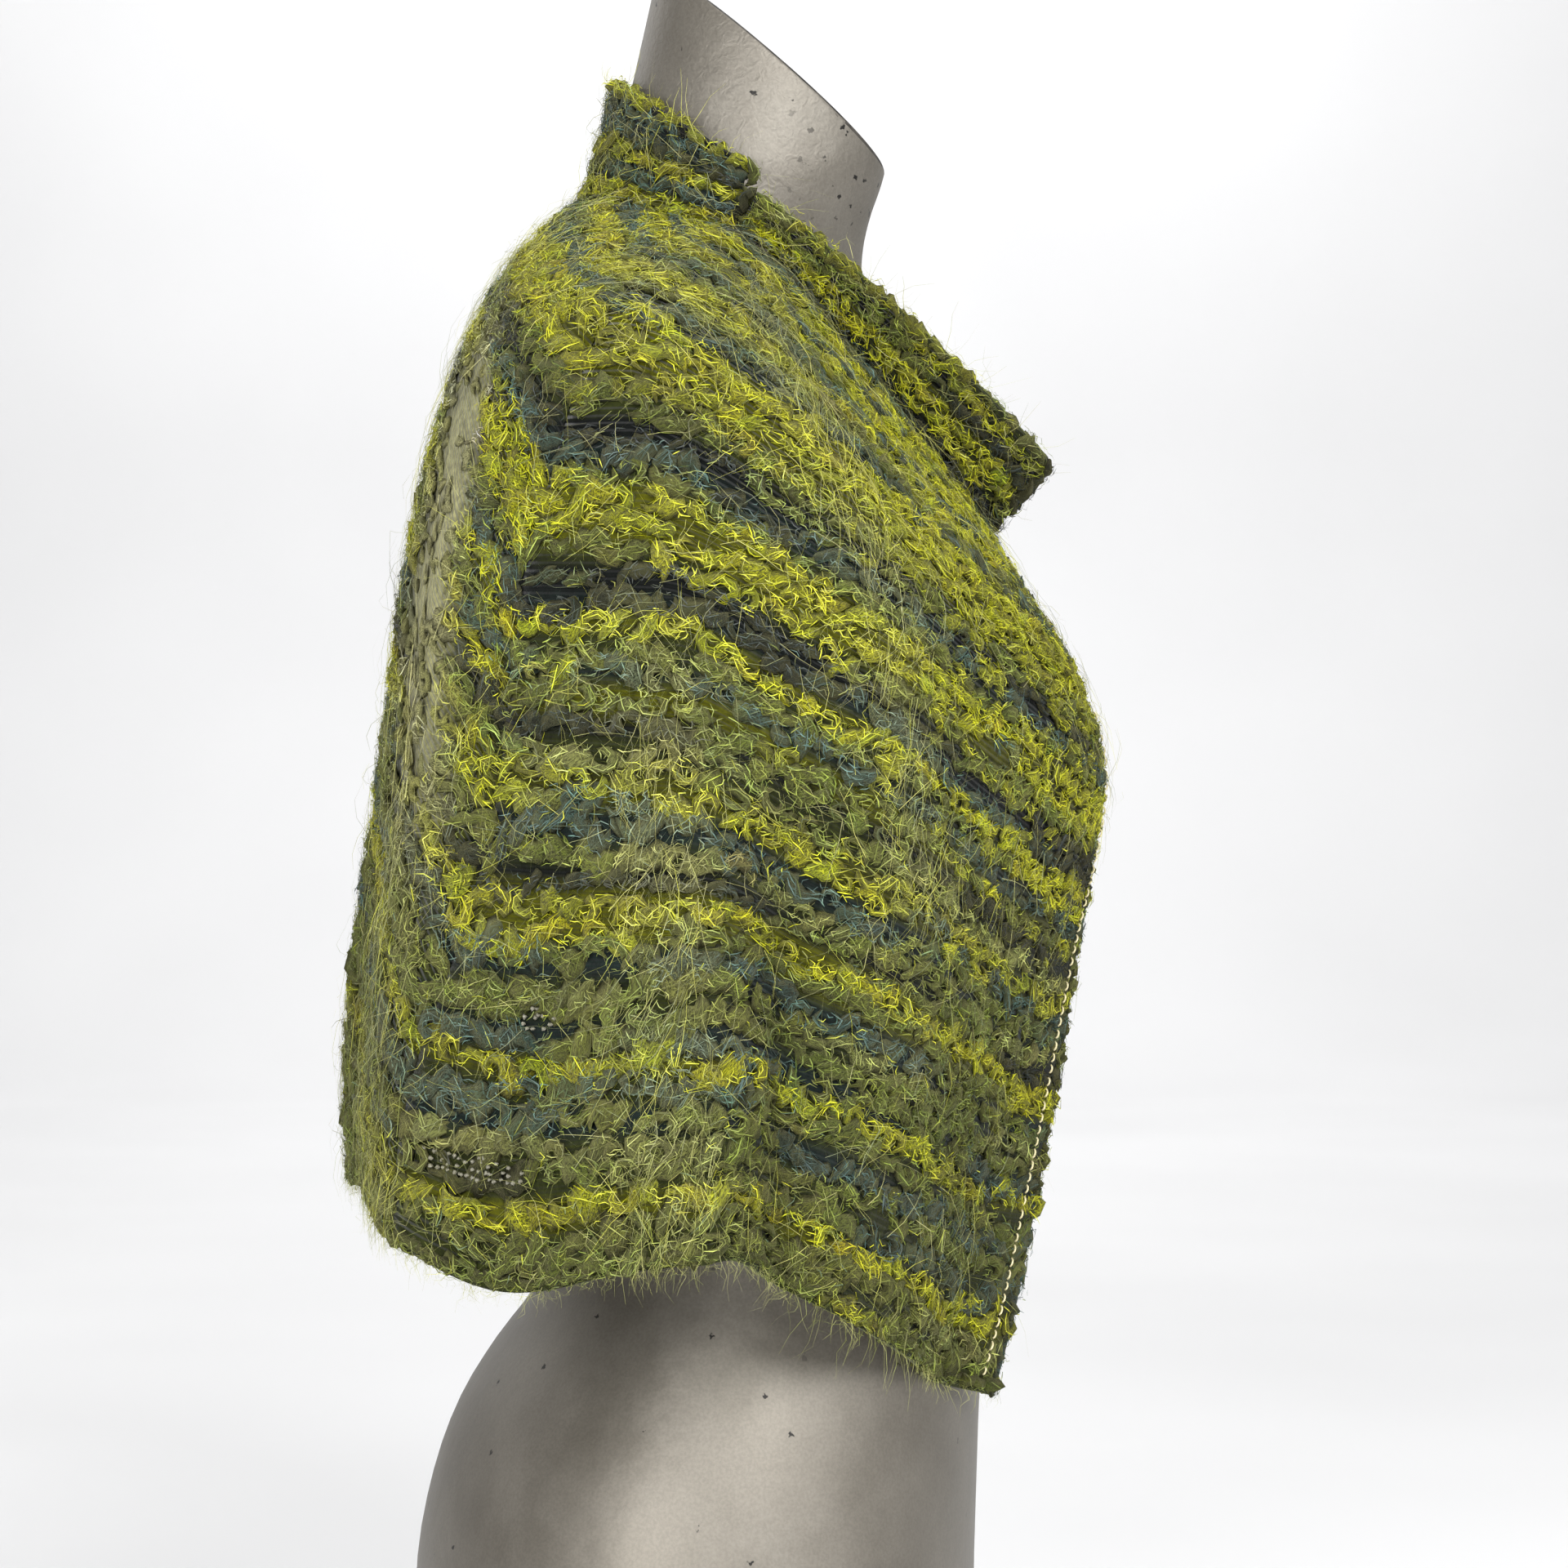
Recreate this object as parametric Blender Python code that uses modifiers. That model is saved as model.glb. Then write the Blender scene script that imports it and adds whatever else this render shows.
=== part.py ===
"""A knit bolero on a limbless dress form.

Metres, +Z up. The front faces -Y and the wearer's right is -X. The origin is on the form's flat
base. The cape-cut cloth hangs from the form's shoulders: two fronts that wrap over the arms' place,
one back, and a stand collar that turns into two lapels.
"""

from collections import namedtuple

import bmesh
import bpy
import numpy as np
from mathutils import Vector

MM = 0.001

# Cloth thickness, and the gaps at seams and over the form
CLOTH_WALL = 0.004
COLLAR_WALL = 0.006
SEAM_GAP = 0.0009
COLLAR_GAP = 0.0008
REST_GAP = 0.0010

# Mesh density
FRONT_COLUMNS = 22
BACK_COLUMNS = 30
CLOTH_ROWS = 28
LAPEL_COLUMNS = 16
COLLAR_BACK_COLUMNS = 24
COLLAR_ROWS = 5
FORM_SEGMENTS = 44
RING_SAMPLES = 240
END_SPACING = 0.25

# The cut through the form's neck: a point of it, and how much it rises for each metre to the back
NECK_CUT_Y = -0.063
NECK_CUT_Z = 0.637
NECK_CUT_RISE = 0.86

# Sections of the dress form from its base up, in millimetres. Each is rounded as a superellipse, with
# one power in front and one behind: 2 is an ellipse, more is squarer and less is more pointed.
Level = namedtuple("Level", "z front_y back_y side_y half_width front_n back_n")
FORM_LEVELS = (
    Level(0, -86, 106, 8, 156, 2.25, 2.25),
    Level(30, -92, 114, 8, 163, 2.25, 2.25),
    Level(65, -96, 119, 8, 167, 2.25, 2.25),
    Level(100, -97, 119, 8, 166, 2.25, 2.25),
    Level(132, -98, 113, 6, 160, 2.25, 2.25),
    Level(158, -99, 103.5, 2, 152, 2.2, 2.2),
    Level(180, -100.5, 90, -4, 143, 2.2, 2.2),
    Level(200, -102, 75, -10, 135, 2.2, 2.2),
    Level(225, -104, 64, -16, 127, 2.2, 2.2),
    Level(260, -107, 66, -16, 127, 2.2, 2.2),
    Level(300, -114, 76, -12, 133, 2.2, 2.2),
    Level(340, -125, 87, -8, 139, 2.2, 2.2),
    Level(375, -137, 97, -4, 144, 2.15, 2.15),
    Level(407, -141.5, 104, 0, 147, 2.1, 2.1),
    Level(435, -132, 109, 4, 148, 2.05, 2.1),
    Level(465, -108, 111.5, 10, 149, 2.0, 2.1),
    Level(497, -84, 110.5, 18, 154, 1.9, 2.1),
    Level(525, -68, 106, 25, 163, 1.75, 2.0),
    Level(547, -59, 99, 30, 168, 1.6, 1.9),
    Level(562, -56, 93.5, 32, 164, 1.45, 1.85),
    Level(575, -54.5, 87, 31, 147, 1.35, 1.8),
    Level(586, -54, 79.5, 27, 118, 1.3, 1.8),
    Level(595, -53.5, 73, 19, 90, 1.35, 1.8),
    Level(602, -53.5, 67.5, 12, 70, 1.5, 1.85),
    Level(610, -54.5, 61.5, 6, 59.5, 1.7, 1.9),
    Level(620, -57, 52.5, 0, 56, 1.9, 2.0),
    Level(635, -62, 45.5, -6, 54.5, 2.1, 2.1),
    Level(655, -66, 40, -12, 53, 2.1, 2.1),
    Level(690, -72, 32, -19, 51, 2.1, 2.1),
    Level(735, -79, 22, -28, 50, 2.1, 2.1),
)

# Rings of the bolero from its neck seam to its hem, in millimetres and degrees. A ring runs from the
# front edge (near -90), which is edge_x from the middle, past the side (0) to the centre back (90).
# Front and back meet at seam_angle, and behind the side a ring sags by dip.
Ring = namedtuple(
    "Ring",
    "front_y front_z side_x side_y side_z back_y back_z front_n back_n edge_x seam_angle dip",
)
RINGS = (
    Ring(-103, 495, 70, -2, 604, 55.5, 623, 1.5, 2.0, 11, -2, 0),
    Ring(-108, 486, 95, 6, 597, 69, 610, 1.55, 2.1, 10, 0, 0),
    Ring(-116, 472, 123, 16, 587, 80, 597, 1.65, 2.2, 9, 1, 0),
    Ring(-126, 455, 150, 27, 576, 89.5, 580, 1.8, 2.3, 8, 2, 0),
    Ring(-136, 437, 173, 33, 562, 98, 560, 2.0, 2.4, 8, 3, 0),
    Ring(-143, 417, 186, 32, 540, 106, 537, 2.1, 2.5, 8, 8, 0),
    Ring(-145.5, 396, 194.5, 28, 508, 113.5, 507, 2.12, 2.5, 10, 15, 0),
    Ring(-141.5, 367, 200.5, 22, 470, 120, 472, 2.0, 2.6, 16, 21, 0),
    Ring(-135, 335.5, 205, 15, 428, 125, 434, 1.85, 2.6, 24, 25, 0),
    Ring(-128, 301.5, 208.5, 10, 385, 130.5, 394, 1.7, 2.6, 33, 28, -2),
    Ring(-121, 266, 211.5, 6, 340, 136.5, 352, 1.58, 2.6, 43, 33, -5),
    Ring(-114, 232, 214, 3, 298, 141, 312, 1.48, 2.6, 54, 39, -9),
    Ring(-107, 199, 216, 1, 265, 142.5, 277, 1.42, 2.6, 65, 43, -14),
    Ring(-99, 169, 217, 0, 238, 141, 248, 1.38, 2.6, 76, 45, -20),
)
LAST_RING = len(RINGS) - 1
DIP_ANGLE = 26
DIP_WIDTH = 19
SLOPE_EASE = 0.12

# Folds: ridges stand out and valleys go in, between two rings, each fading over FOLD_FADE rings
Fold = namedtuple("Fold", "first last first_angle last_angle width height")
FOLD_FADE = 2.5
RUNS_OUT = LAST_RING + FOLD_FADE
RIGHT_FOLDS = (
    Fold(1, 11.5, -15, -41, 9, 7),
    Fold(7.5, RUNS_OUT, -17, -20, 6.5, -11),
    Fold(7, RUNS_OUT, 1, 3, 7, 5),
    Fold(7.5, RUNS_OUT, 19, 20, 8, -4),
    Fold(5, RUNS_OUT, 39, 45, 9, 7),
    Fold(6, RUNS_OUT, -62, -47, 8, -5),
    Fold(8, RUNS_OUT, 66, 70, 8, -5),
)
LEFT_FOLDS = (
    Fold(1.5, 11, -17, -37, 10, 6),
    Fold(8.5, RUNS_OUT, -22, -25, 7, -9),
    Fold(6.5, RUNS_OUT, -4, -1, 8, 5),
    Fold(8.5, RUNS_OUT, 15, 17, 7, -6),
    Fold(6, RUNS_OUT, 36, 42, 10, 7),
    Fold(7.5, RUNS_OUT, -58, -49, 8, -5),
    Fold(6.5, RUNS_OUT, 72, 68, 9, -4),
)

# The collar's top edge, at shares along each stretch of the neck seam: the lapels run from the front
# edge to the seam of front and back, and the back collar from there to the centre back.
Top = namedtuple("Top", "along x y z")
LAPEL_TOPS = (
    Top(0.0, 24, -125, 523),
    Top(0.5, 62, -68, 575),
    Top(1.0, 76, -13, 618),
)
COLLAR_BACK_TOPS = (
    Top(0.0, 70, -9, 630),
    Top(0.5, 49, 28, 656),
    Top(1.0, 0, 42, 672),
)
COLLAR_BULGE = 0.003

# How far below the neck seam, in rings, the cloth's direction there is taken, and the degrees between
# the lapels and the back collar
BELOW_SEAM = 0.3
NOTCH_GAP = 1.0


def smooth_step(low, high, value):
    share = np.clip((value - low) / (high - low), 0.0, 1.0)
    return share * share * (3.0 - 2.0 * share)


def ring_at(place):
    """The ring at a place between the table's rows, on a Catmull-Rom curve through them."""
    table = np.array(RINGS, float)
    low = int(np.clip(np.floor(place), 0, LAST_RING - 1))
    t = place - low
    before, here, after, beyond = (
        table[np.clip(low + step, 0, LAST_RING)] for step in (-1, 0, 1, 2)
    )
    slope = (after - before) / 2
    next_slope = (beyond - here) / 2
    curve = (
        (2 * t**3 - 3 * t**2 + 1) * here
        + (t**3 - 2 * t**2 + t) * slope
        + (3 * t**2 - 2 * t**3) * after
        + (t**3 - t**2) * next_slope
    )
    return Ring(*curve)


def fold_height(folds, angle, place):
    total = np.zeros_like(angle)
    for fold in folds:
        share = np.clip((place - fold.first) / (fold.last - fold.first), 0.0, 1.0)
        centre = fold.first_angle + share * (fold.last_angle - fold.first_angle)
        fade = smooth_step(fold.first, fold.first + FOLD_FADE, place)
        fade *= 1.0 - smooth_step(fold.last - FOLD_FADE, fold.last, place)
        total += fade * fold.height * np.exp(-(((angle - centre) / fold.width) ** 2))
    return total


def front_angle(ring):
    """The angle at which a ring reaches the front edge."""
    return -np.degrees(np.arccos((ring.edge_x / ring.side_x) ** (ring.front_n / 2.0)))


def ring_points(side, angle, place):
    """Points of the cloth's middle surface at these angles of one ring. Side is -1 right, +1 left."""
    ring = ring_at(place)
    turn = np.radians(angle)
    in_front = angle < 0
    power = 2.0 / np.where(in_front, ring.front_n, ring.back_n)
    last_angle = np.where(in_front, front_angle(ring), 90.0)
    share = np.abs(np.sin(turn) / np.sin(np.radians(last_angle))) ** power
    depth = np.where(in_front, ring.front_y - ring.side_y, ring.back_y - ring.side_y)
    across = ring.side_x * np.cos(turn) ** power
    along = depth * share
    end_z = np.where(in_front, ring.front_z, ring.back_z)
    eased = share**2 / (share + SLOPE_EASE) * (1.0 + SLOPE_EASE)
    height = ring.side_z + (end_z - ring.side_z) * eased
    height += ring.dip * np.exp(-(((angle - DIP_ANGLE) / DIP_WIDTH) ** 2))
    out_x = across / ring.side_x**2
    out_y = along / depth**2
    folds = RIGHT_FOLDS if side < 0 else LEFT_FOLDS
    out = fold_height(folds, angle, place) / np.hypot(out_x, out_y)
    across = across + out * out_x
    along = along + out * out_y
    return np.stack([side * across, ring.side_y + along, height], axis=1) * MM


def lengths(points):
    steps = np.linalg.norm(np.diff(points, axis=0), axis=1)
    return np.concatenate([[0.0], np.cumsum(steps)])


def at_lengths(points, length):
    """Points at these lengths along a line."""
    known = lengths(points)
    return np.stack([np.interp(length, known, points[:, k]) for k in range(3)], axis=1)


def spaced(points, count, trim_start=0.0, trim_end=0.0):
    """Count points along a line by length, closer together at both ends, trimmed a little there."""
    share = np.linspace(0.0, 1.0, count)
    share = END_SPACING * share + (1.0 - END_SPACING) * smooth_step(0.0, 1.0, share)
    end = lengths(points)[-1] - trim_end
    return at_lengths(points, trim_start + share * (end - trim_start))


def front_grid(side):
    rows = []
    for place in np.linspace(0, LAST_RING, CLOTH_ROWS + 1):
        ring = ring_at(place)
        angle = np.linspace(front_angle(ring), ring.seam_angle, RING_SAMPLES)
        line = ring_points(side, angle, place)
        rows.append(spaced(line, FRONT_COLUMNS + 1, trim_end=SEAM_GAP / 2))
    return np.array(rows)


def back_grid():
    rows = []
    for place in np.linspace(0, LAST_RING, CLOTH_ROWS + 1):
        angle = np.linspace(ring_at(place).seam_angle, 90.0, RING_SAMPLES)
        right = ring_points(-1, angle, place)
        left = ring_points(1, angle[::-1], place)
        line = np.concatenate([right, left[1:]])
        rows.append(spaced(line, BACK_COLUMNS + 1, SEAM_GAP / 2, SEAM_GAP / 2))
    return np.array(rows)


def unit(vectors):
    return vectors / np.linalg.norm(vectors, axis=1)[:, None]


def collar_strip(side, tops, first_angle, last_angle, columns):
    """Rows of points from the neck seam to the collar's top edge, between two angles of the seam. The
    strip stands off the cloth's edge far enough for its own wall to clear it."""
    angle = np.linspace(first_angle, last_angle, RING_SAMPLES)
    seam = ring_points(side, angle, 0.0)
    share = np.linspace(0.0, 1.0, columns + 1)
    length = share * lengths(seam)[-1]
    base = at_lengths(seam, length)
    turn = np.interp(length, lengths(seam), angle)
    off = unit(base - ring_points(side, turn, BELOW_SEAM))
    table = np.array(tops, float)
    curves = [np.polyfit(table[:, 0], table[:, k], 2) for k in (1, 2, 3)]
    top = np.stack([np.polyval(curve, share) for curve in curves], axis=1)
    top *= np.array([side, 1.0, 1.0]) * MM
    turned = np.linalg.norm(np.cross(unit(top - base), off), axis=1)[:, None]
    base = base + off * (COLLAR_GAP + turned * COLLAR_WALL / 2)
    bend = (base + top) / 2 + COLLAR_BULGE * off
    rows = []
    for t in np.linspace(0.0, 1.0, COLLAR_ROWS + 1):
        rows.append((1 - t) ** 2 * base + 2 * t * (1 - t) * bend + t**2 * top)
    return np.array(rows)


def lapel_grid(side):
    last = RINGS[0].seam_angle - NOTCH_GAP / 2
    return collar_strip(side, LAPEL_TOPS, front_angle(RINGS[0]), last, LAPEL_COLUMNS)


def collar_back_grid():
    first = RINGS[0].seam_angle + NOTCH_GAP / 2
    right, left = (
        collar_strip(side, COLLAR_BACK_TOPS, first, 90.0, COLLAR_BACK_COLUMNS // 2)
        for side in (-1, 1)
    )
    return np.concatenate([right, left[:, -2::-1]], axis=1)


def form_ring(level):
    turn = np.linspace(0.0, 2 * np.pi, FORM_SEGMENTS, endpoint=False)
    behind = np.sin(turn) > 0
    power = 2.0 / np.where(behind, level.back_n, level.front_n)
    depth = np.where(behind, level.back_y - level.side_y, level.side_y - level.front_y)
    across = level.half_width * np.sign(np.cos(turn)) * np.abs(np.cos(turn)) ** power
    along = depth * np.sign(np.sin(turn)) * np.abs(np.sin(turn)) ** power
    height = np.full(FORM_SEGMENTS, level.z)
    return np.stack([across, level.side_y + along, height], axis=1) * MM


def quads_between(mesh, rows, closed):
    """Adds the rows of points to a bmesh, with a face between each four neighbours."""
    verts = [[mesh.verts.new(Vector(point)) for point in row] for row in rows]
    count = len(verts[0])
    for low, high in zip(verts, verts[1:]):
        for i in range(count if closed else count - 1):
            j = (i + 1) % count
            mesh.faces.new((low[i], low[j], high[j], high[i]))
    return verts


def new_object(name, mesh, material, collection):
    data = bpy.data.meshes.new(name)
    bmesh.ops.recalc_face_normals(mesh, faces=mesh.faces)
    mesh.to_mesh(data)
    mesh.free()
    data.materials.append(material)
    data.shade_smooth()
    obj = bpy.data.objects.new(name, data)
    collection.objects.link(obj)
    return obj


def new_material(name, colour, roughness, metallic):
    material = bpy.data.materials.new(name)
    material.use_nodes = True
    shader = material.node_tree.nodes["Principled BSDF"]
    shader.inputs["Base Color"].default_value = (*colour, 1.0)
    shader.inputs["Roughness"].default_value = roughness
    shader.inputs["Metallic"].default_value = metallic
    return material


def make_form(material, collection):
    mesh = bmesh.new()
    verts = quads_between(mesh, [form_ring(level) for level in FORM_LEVELS], closed=True)
    mesh.faces.new(verts[0])
    cut = bmesh.ops.bisect_plane(
        mesh,
        geom=mesh.verts[:] + mesh.edges[:] + mesh.faces[:],
        plane_co=(0.0, NECK_CUT_Y, NECK_CUT_Z),
        plane_no=(0.0, -NECK_CUT_RISE, 1.0),
        clear_outer=True,
    )
    rim = [item for item in cut["geom_cut"] if isinstance(item, bmesh.types.BMEdge)]
    bmesh.ops.contextual_create(mesh, geom=rim)
    form = new_object("dress_form", mesh, material, collection)
    form.data.set_sharp_from_angle(angle=np.radians(40))
    return form


def make_cloth(name, grid, wall, material, collection, form):
    """A cloth panel: an open surface kept clear of the form, given its thickness."""
    mesh = bmesh.new()
    quads_between(mesh, grid, closed=False)
    panel = new_object(name, mesh, material, collection)
    clear = panel.modifiers.new("Clear of the form", "SHRINKWRAP")
    clear.target = form
    clear.wrap_method = "NEAREST_SURFACEPOINT"
    clear.wrap_mode = "OUTSIDE"
    clear.offset = wall / 2 + REST_GAP
    thick = panel.modifiers.new("Cloth wall", "SOLIDIFY")
    thick.thickness = wall
    thick.offset = 0.0
    thick.use_even_offset = True
    return panel


def main():
    for obj in list(bpy.data.objects):
        bpy.data.objects.remove(obj, do_unlink=True)
    collection = bpy.data.collections.new("Knit bolero on dress form")
    bpy.context.scene.collection.children.link(collection)
    knit = new_material("Boucle knit", (0.19, 0.20, 0.055), 0.95, 0.0)
    edge_knit = new_material("Collar knit", (0.23, 0.23, 0.06), 0.95, 0.0)
    paint = new_material("Silver paint", (0.46, 0.44, 0.40), 0.38, 0.75)

    form = make_form(paint, collection)
    panels = (
        ("front_right", front_grid(-1), CLOTH_WALL, knit),
        ("front_left", front_grid(1), CLOTH_WALL, knit),
        ("back", back_grid(), CLOTH_WALL, knit),
        ("lapel_right", lapel_grid(-1), COLLAR_WALL, edge_knit),
        ("lapel_left", lapel_grid(1), COLLAR_WALL, edge_knit),
        ("collar_back", collar_back_grid(), COLLAR_WALL, edge_knit),
    )
    for name, grid, wall, material in panels:
        make_cloth(name, grid, wall, material, collection, form)


main()
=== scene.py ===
"""The looks of a short open-front bolero in bulky brushed knit, on a limbless silver dress form.

Each cloth piece is a thin shell on the form of its solid. The knit's loops, the fibres that mat them, its
loose mohair hairs and the thread along its front edges are joined meshes on that shell. X runs from the
wearer's right to the left, Y from the front to the back and Z up. Sizes are in metres unless said.
"""

from collections import namedtuple

import bmesh
import bpy
import numpy as np
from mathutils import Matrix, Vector


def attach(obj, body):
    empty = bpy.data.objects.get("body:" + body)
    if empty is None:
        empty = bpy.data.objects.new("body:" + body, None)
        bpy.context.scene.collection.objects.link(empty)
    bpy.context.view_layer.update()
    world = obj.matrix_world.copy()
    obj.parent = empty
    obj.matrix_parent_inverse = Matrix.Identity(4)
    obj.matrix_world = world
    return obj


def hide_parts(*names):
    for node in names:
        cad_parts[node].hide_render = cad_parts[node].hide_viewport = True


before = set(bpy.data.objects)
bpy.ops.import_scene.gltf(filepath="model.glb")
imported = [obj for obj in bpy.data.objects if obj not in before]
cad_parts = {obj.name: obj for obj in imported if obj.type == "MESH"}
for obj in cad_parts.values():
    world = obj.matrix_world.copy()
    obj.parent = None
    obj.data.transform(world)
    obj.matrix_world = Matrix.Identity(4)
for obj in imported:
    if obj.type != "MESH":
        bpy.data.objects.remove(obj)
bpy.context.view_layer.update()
rng = np.random.default_rng(41)

MM = 0.001
CLOTH_WALL = 0.004
COLLAR_WALL = 0.006
COLLAR_GAP = 0.0008
REST_GAP = 0.001
SEAM_GAP = 0.0005
BODY_AXIS = (0.0, -0.01, 0.0)
RING_SAMPLES = 240
EDGE_SAMPLES = 200
COURSE_SAMPLES = 301

# Each piece's grid, as rows and columns, and the flat size and area it is cut to
Cut = namedtuple("Cut", "rows columns flat area")
FRONT_CUT = Cut(91, 56, (0.345, 0.455), 0.124)
BACK_CUT = Cut(91, 60, (0.44, 0.41), 0.155)
LAPEL_CUT = Cut(18, 60, (0.16, 0.034), 0.0041)
COLLAR_CUT = Cut(18, 96, (0.18, 0.05), 0.0077)

# The form's outlines, in millimetres
Level = namedtuple("Level", "z front_y back_y side_y half_width front_n back_n")
FORM_LEVELS = tuple(Level(*row) for row in (
    (0, -86, 106, 8, 156, 2.25, 2.25),
    (30, -92, 114, 8, 163, 2.25, 2.25),
    (65, -96, 119, 8, 167, 2.25, 2.25),
    (100, -97, 119, 8, 166, 2.25, 2.25),
    (132, -98, 113, 6, 160, 2.25, 2.25),
    (158, -99, 103.5, 2, 152, 2.2, 2.2),
    (180, -100.5, 90, -4, 143, 2.2, 2.2),
    (200, -102, 75, -10, 135, 2.2, 2.2),
    (225, -104, 64, -16, 127, 2.2, 2.2),
    (260, -107, 66, -16, 127, 2.2, 2.2),
    (300, -114, 76, -12, 133, 2.2, 2.2),
    (340, -125, 87, -8, 139, 2.2, 2.2),
    (375, -137, 97, -4, 144, 2.15, 2.15),
    (407, -141.5, 104, 0, 147, 2.1, 2.1),
    (435, -132, 109, 4, 148, 2.05, 2.1),
    (465, -108, 111.5, 10, 149, 2.0, 2.1),
    (497, -84, 110.5, 18, 154, 1.9, 2.1),
    (525, -68, 106, 25, 163, 1.75, 2.0),
    (547, -59, 99, 30, 168, 1.6, 1.9),
    (562, -56, 93.5, 32, 164, 1.45, 1.85),
    (575, -54.5, 87, 31, 147, 1.35, 1.8),
    (586, -54, 79.5, 27, 118, 1.3, 1.8),
    (595, -53.5, 73, 19, 90, 1.35, 1.8),
    (602, -53.5, 67.5, 12, 70, 1.5, 1.85),
    (610, -54.5, 61.5, 6, 59.5, 1.7, 1.9),
    (620, -57, 52.5, 0, 56, 1.9, 2.0),
    (635, -62, 45.5, -6, 54.5, 2.1, 2.1),
    (655, -66, 40, -12, 53, 2.1, 2.1),
    (690, -72, 32, -19, 51, 2.1, 2.1),
    (735, -79, 22, -28, 50, 2.1, 2.1),
))
FORM_SEGMENTS = 144
FORM_STEPS = 3
NECK_LEVEL = 25
NECK_ROWS = 16
NECK_SAMPLES = 121
FORM_EDGE = 0.0016
RIM_FACING = 0.55
NECK_CUT_Y = -0.063
NECK_CUT_Z = 0.637
NECK_CUT_RISE = 0.86

# Rings round the body from the neck seam to the hem, in millimetres
Ring = namedtuple(
    "Ring",
    "front_y front_z side_x side_y side_z back_y back_z front_n back_n edge_x seam_angle dip",
)
RINGS = tuple(Ring(*row) for row in (
    (-103, 495, 70, -2, 604, 55.5, 623, 1.5, 2.0, 11, -2, 0),
    (-108, 486, 95, 6, 597, 69, 610, 1.55, 2.1, 10, 0, 0),
    (-116, 472, 123, 16, 587, 80, 597, 1.65, 2.2, 9, 1, 0),
    (-126, 455, 150, 27, 576, 89.5, 580, 1.8, 2.3, 8, 2, 0),
    (-136, 437, 173, 33, 562, 98, 560, 2.0, 2.4, 8, 3, 0),
    (-143, 417, 186, 32, 540, 106, 537, 2.1, 2.5, 8, 8, 0),
    (-145.5, 396, 194.5, 28, 508, 113.5, 507, 2.12, 2.5, 10, 15, 0),
    (-141.5, 367, 200.5, 22, 470, 120, 472, 2.0, 2.6, 16, 21, 0),
    (-135, 335.5, 205, 15, 428, 125, 434, 1.85, 2.6, 24, 25, 0),
    (-128, 301.5, 208.5, 10, 385, 130.5, 394, 1.7, 2.6, 33, 28, -2),
    (-121, 266, 211.5, 6, 340, 136.5, 352, 1.58, 2.6, 43, 33, -5),
    (-114, 232, 214, 3, 298, 141, 312, 1.48, 2.6, 54, 39, -9),
    (-107, 199, 216, 1, 265, 142.5, 277, 1.42, 2.6, 65, 43, -14),
    (-99, 169, 217, 0, 238, 141, 248, 1.38, 2.6, 76, 45, -20),
))
LAST_RING = len(RINGS) - 1
DIP_ANGLE = 26
DIP_WIDTH = 19
SLOPE_EASE = 0.12

# Hanging folds, from ring to ring, at angles round the body, with a height in millimetres
Fold = namedtuple("Fold", "first last first_angle last_angle width height")
FOLD_FADE = 2.5
RUNS_OUT = LAST_RING + FOLD_FADE
RIGHT_FOLDS = tuple(Fold(*row) for row in (
    (1, 11.5, -15, -41, 9, 7),
    (7.5, RUNS_OUT, -17, -20, 6.5, -11),
    (7, RUNS_OUT, 1, 3, 7, 5),
    (7.5, RUNS_OUT, 19, 20, 8, -4),
    (5, RUNS_OUT, 39, 45, 9, 7),
    (6, RUNS_OUT, -62, -47, 8, -5),
    (8, RUNS_OUT, 66, 70, 8, -5),
))
LEFT_FOLDS = tuple(Fold(*row) for row in (
    (1.5, 11, -17, -37, 10, 6),
    (8.5, RUNS_OUT, -22, -25, 7, -9),
    (6.5, RUNS_OUT, -4, -1, 8, 5),
    (8.5, RUNS_OUT, 15, 17, 7, -6),
    (6, RUNS_OUT, 36, 42, 10, 7),
    (7.5, RUNS_OUT, -58, -49, 8, -5),
    (6.5, RUNS_OUT, 72, 68, 9, -4),
))

# The collar's top edge, in millimetres
Top = namedtuple("Top", "along x y z")
LAPEL_TOPS = (
    Top(0.0, 24, -125, 523),
    Top(0.5, 62, -68, 575),
    Top(1.0, 76, -13, 618),
)
COLLAR_BACK_TOPS = (
    Top(0.0, 70, -9, 630),
    Top(0.5, 49, 28, 656),
    Top(1.0, 0, 42, 672),
)
COLLAR_BULGE = 0.003
BELOW_SEAM = 0.3
NOTCH_GAP = 1.0

# The space-dyed yarn's colours, and for each course from the neck to the hem the colour it mostly is
# and the one it drifts to
DYES = {
    "l": (202, 204, 20),
    "y": (172, 174, 34),
    "m": (124, 135, 52),
    "g": (148, 153, 82),
    "s": (74, 100, 92),
    "i": (40, 50, 44),
}
COURSES = (
    "im sl ly ly sm ly lm sl sm ly lg ml sm lm ly ly ym mi im si ml ly ls ml im si lm ml sl lm im mg ym "
    "ls sm mg im ly lm sm mg mg sm ly ms sm mg ms ly mg my"
).split()
COLLAR_BACK_COURSES = "lm sm ly si is ly".split()
LAPEL_COURSES = "is ml ly im ml gy".split()
OPEN_COURSES = (18, 24, 36)
PALE = (188, 184, 118)
SHEEN_BEIGE = (199, 195, 140)
CREAM = (232, 222, 180)
THREAD_SHADE = (176, 164, 118)
HAZE = (150, 148, 82)
SHEEN = (214, 208, 150)
SILVERS = ((0.3, (98, 93, 84)), (0.55, (121, 116, 107)), (0.75, (140, 136, 127)))
CHIP = (30, 28, 26)
RIM_DARK = (38, 36, 33)
RIM_PALE = (96, 91, 84)
STAGE_DARK = (0.78, 0.78, 0.785)
STAGE_PALE = (0.82, 0.82, 0.825)

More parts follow.
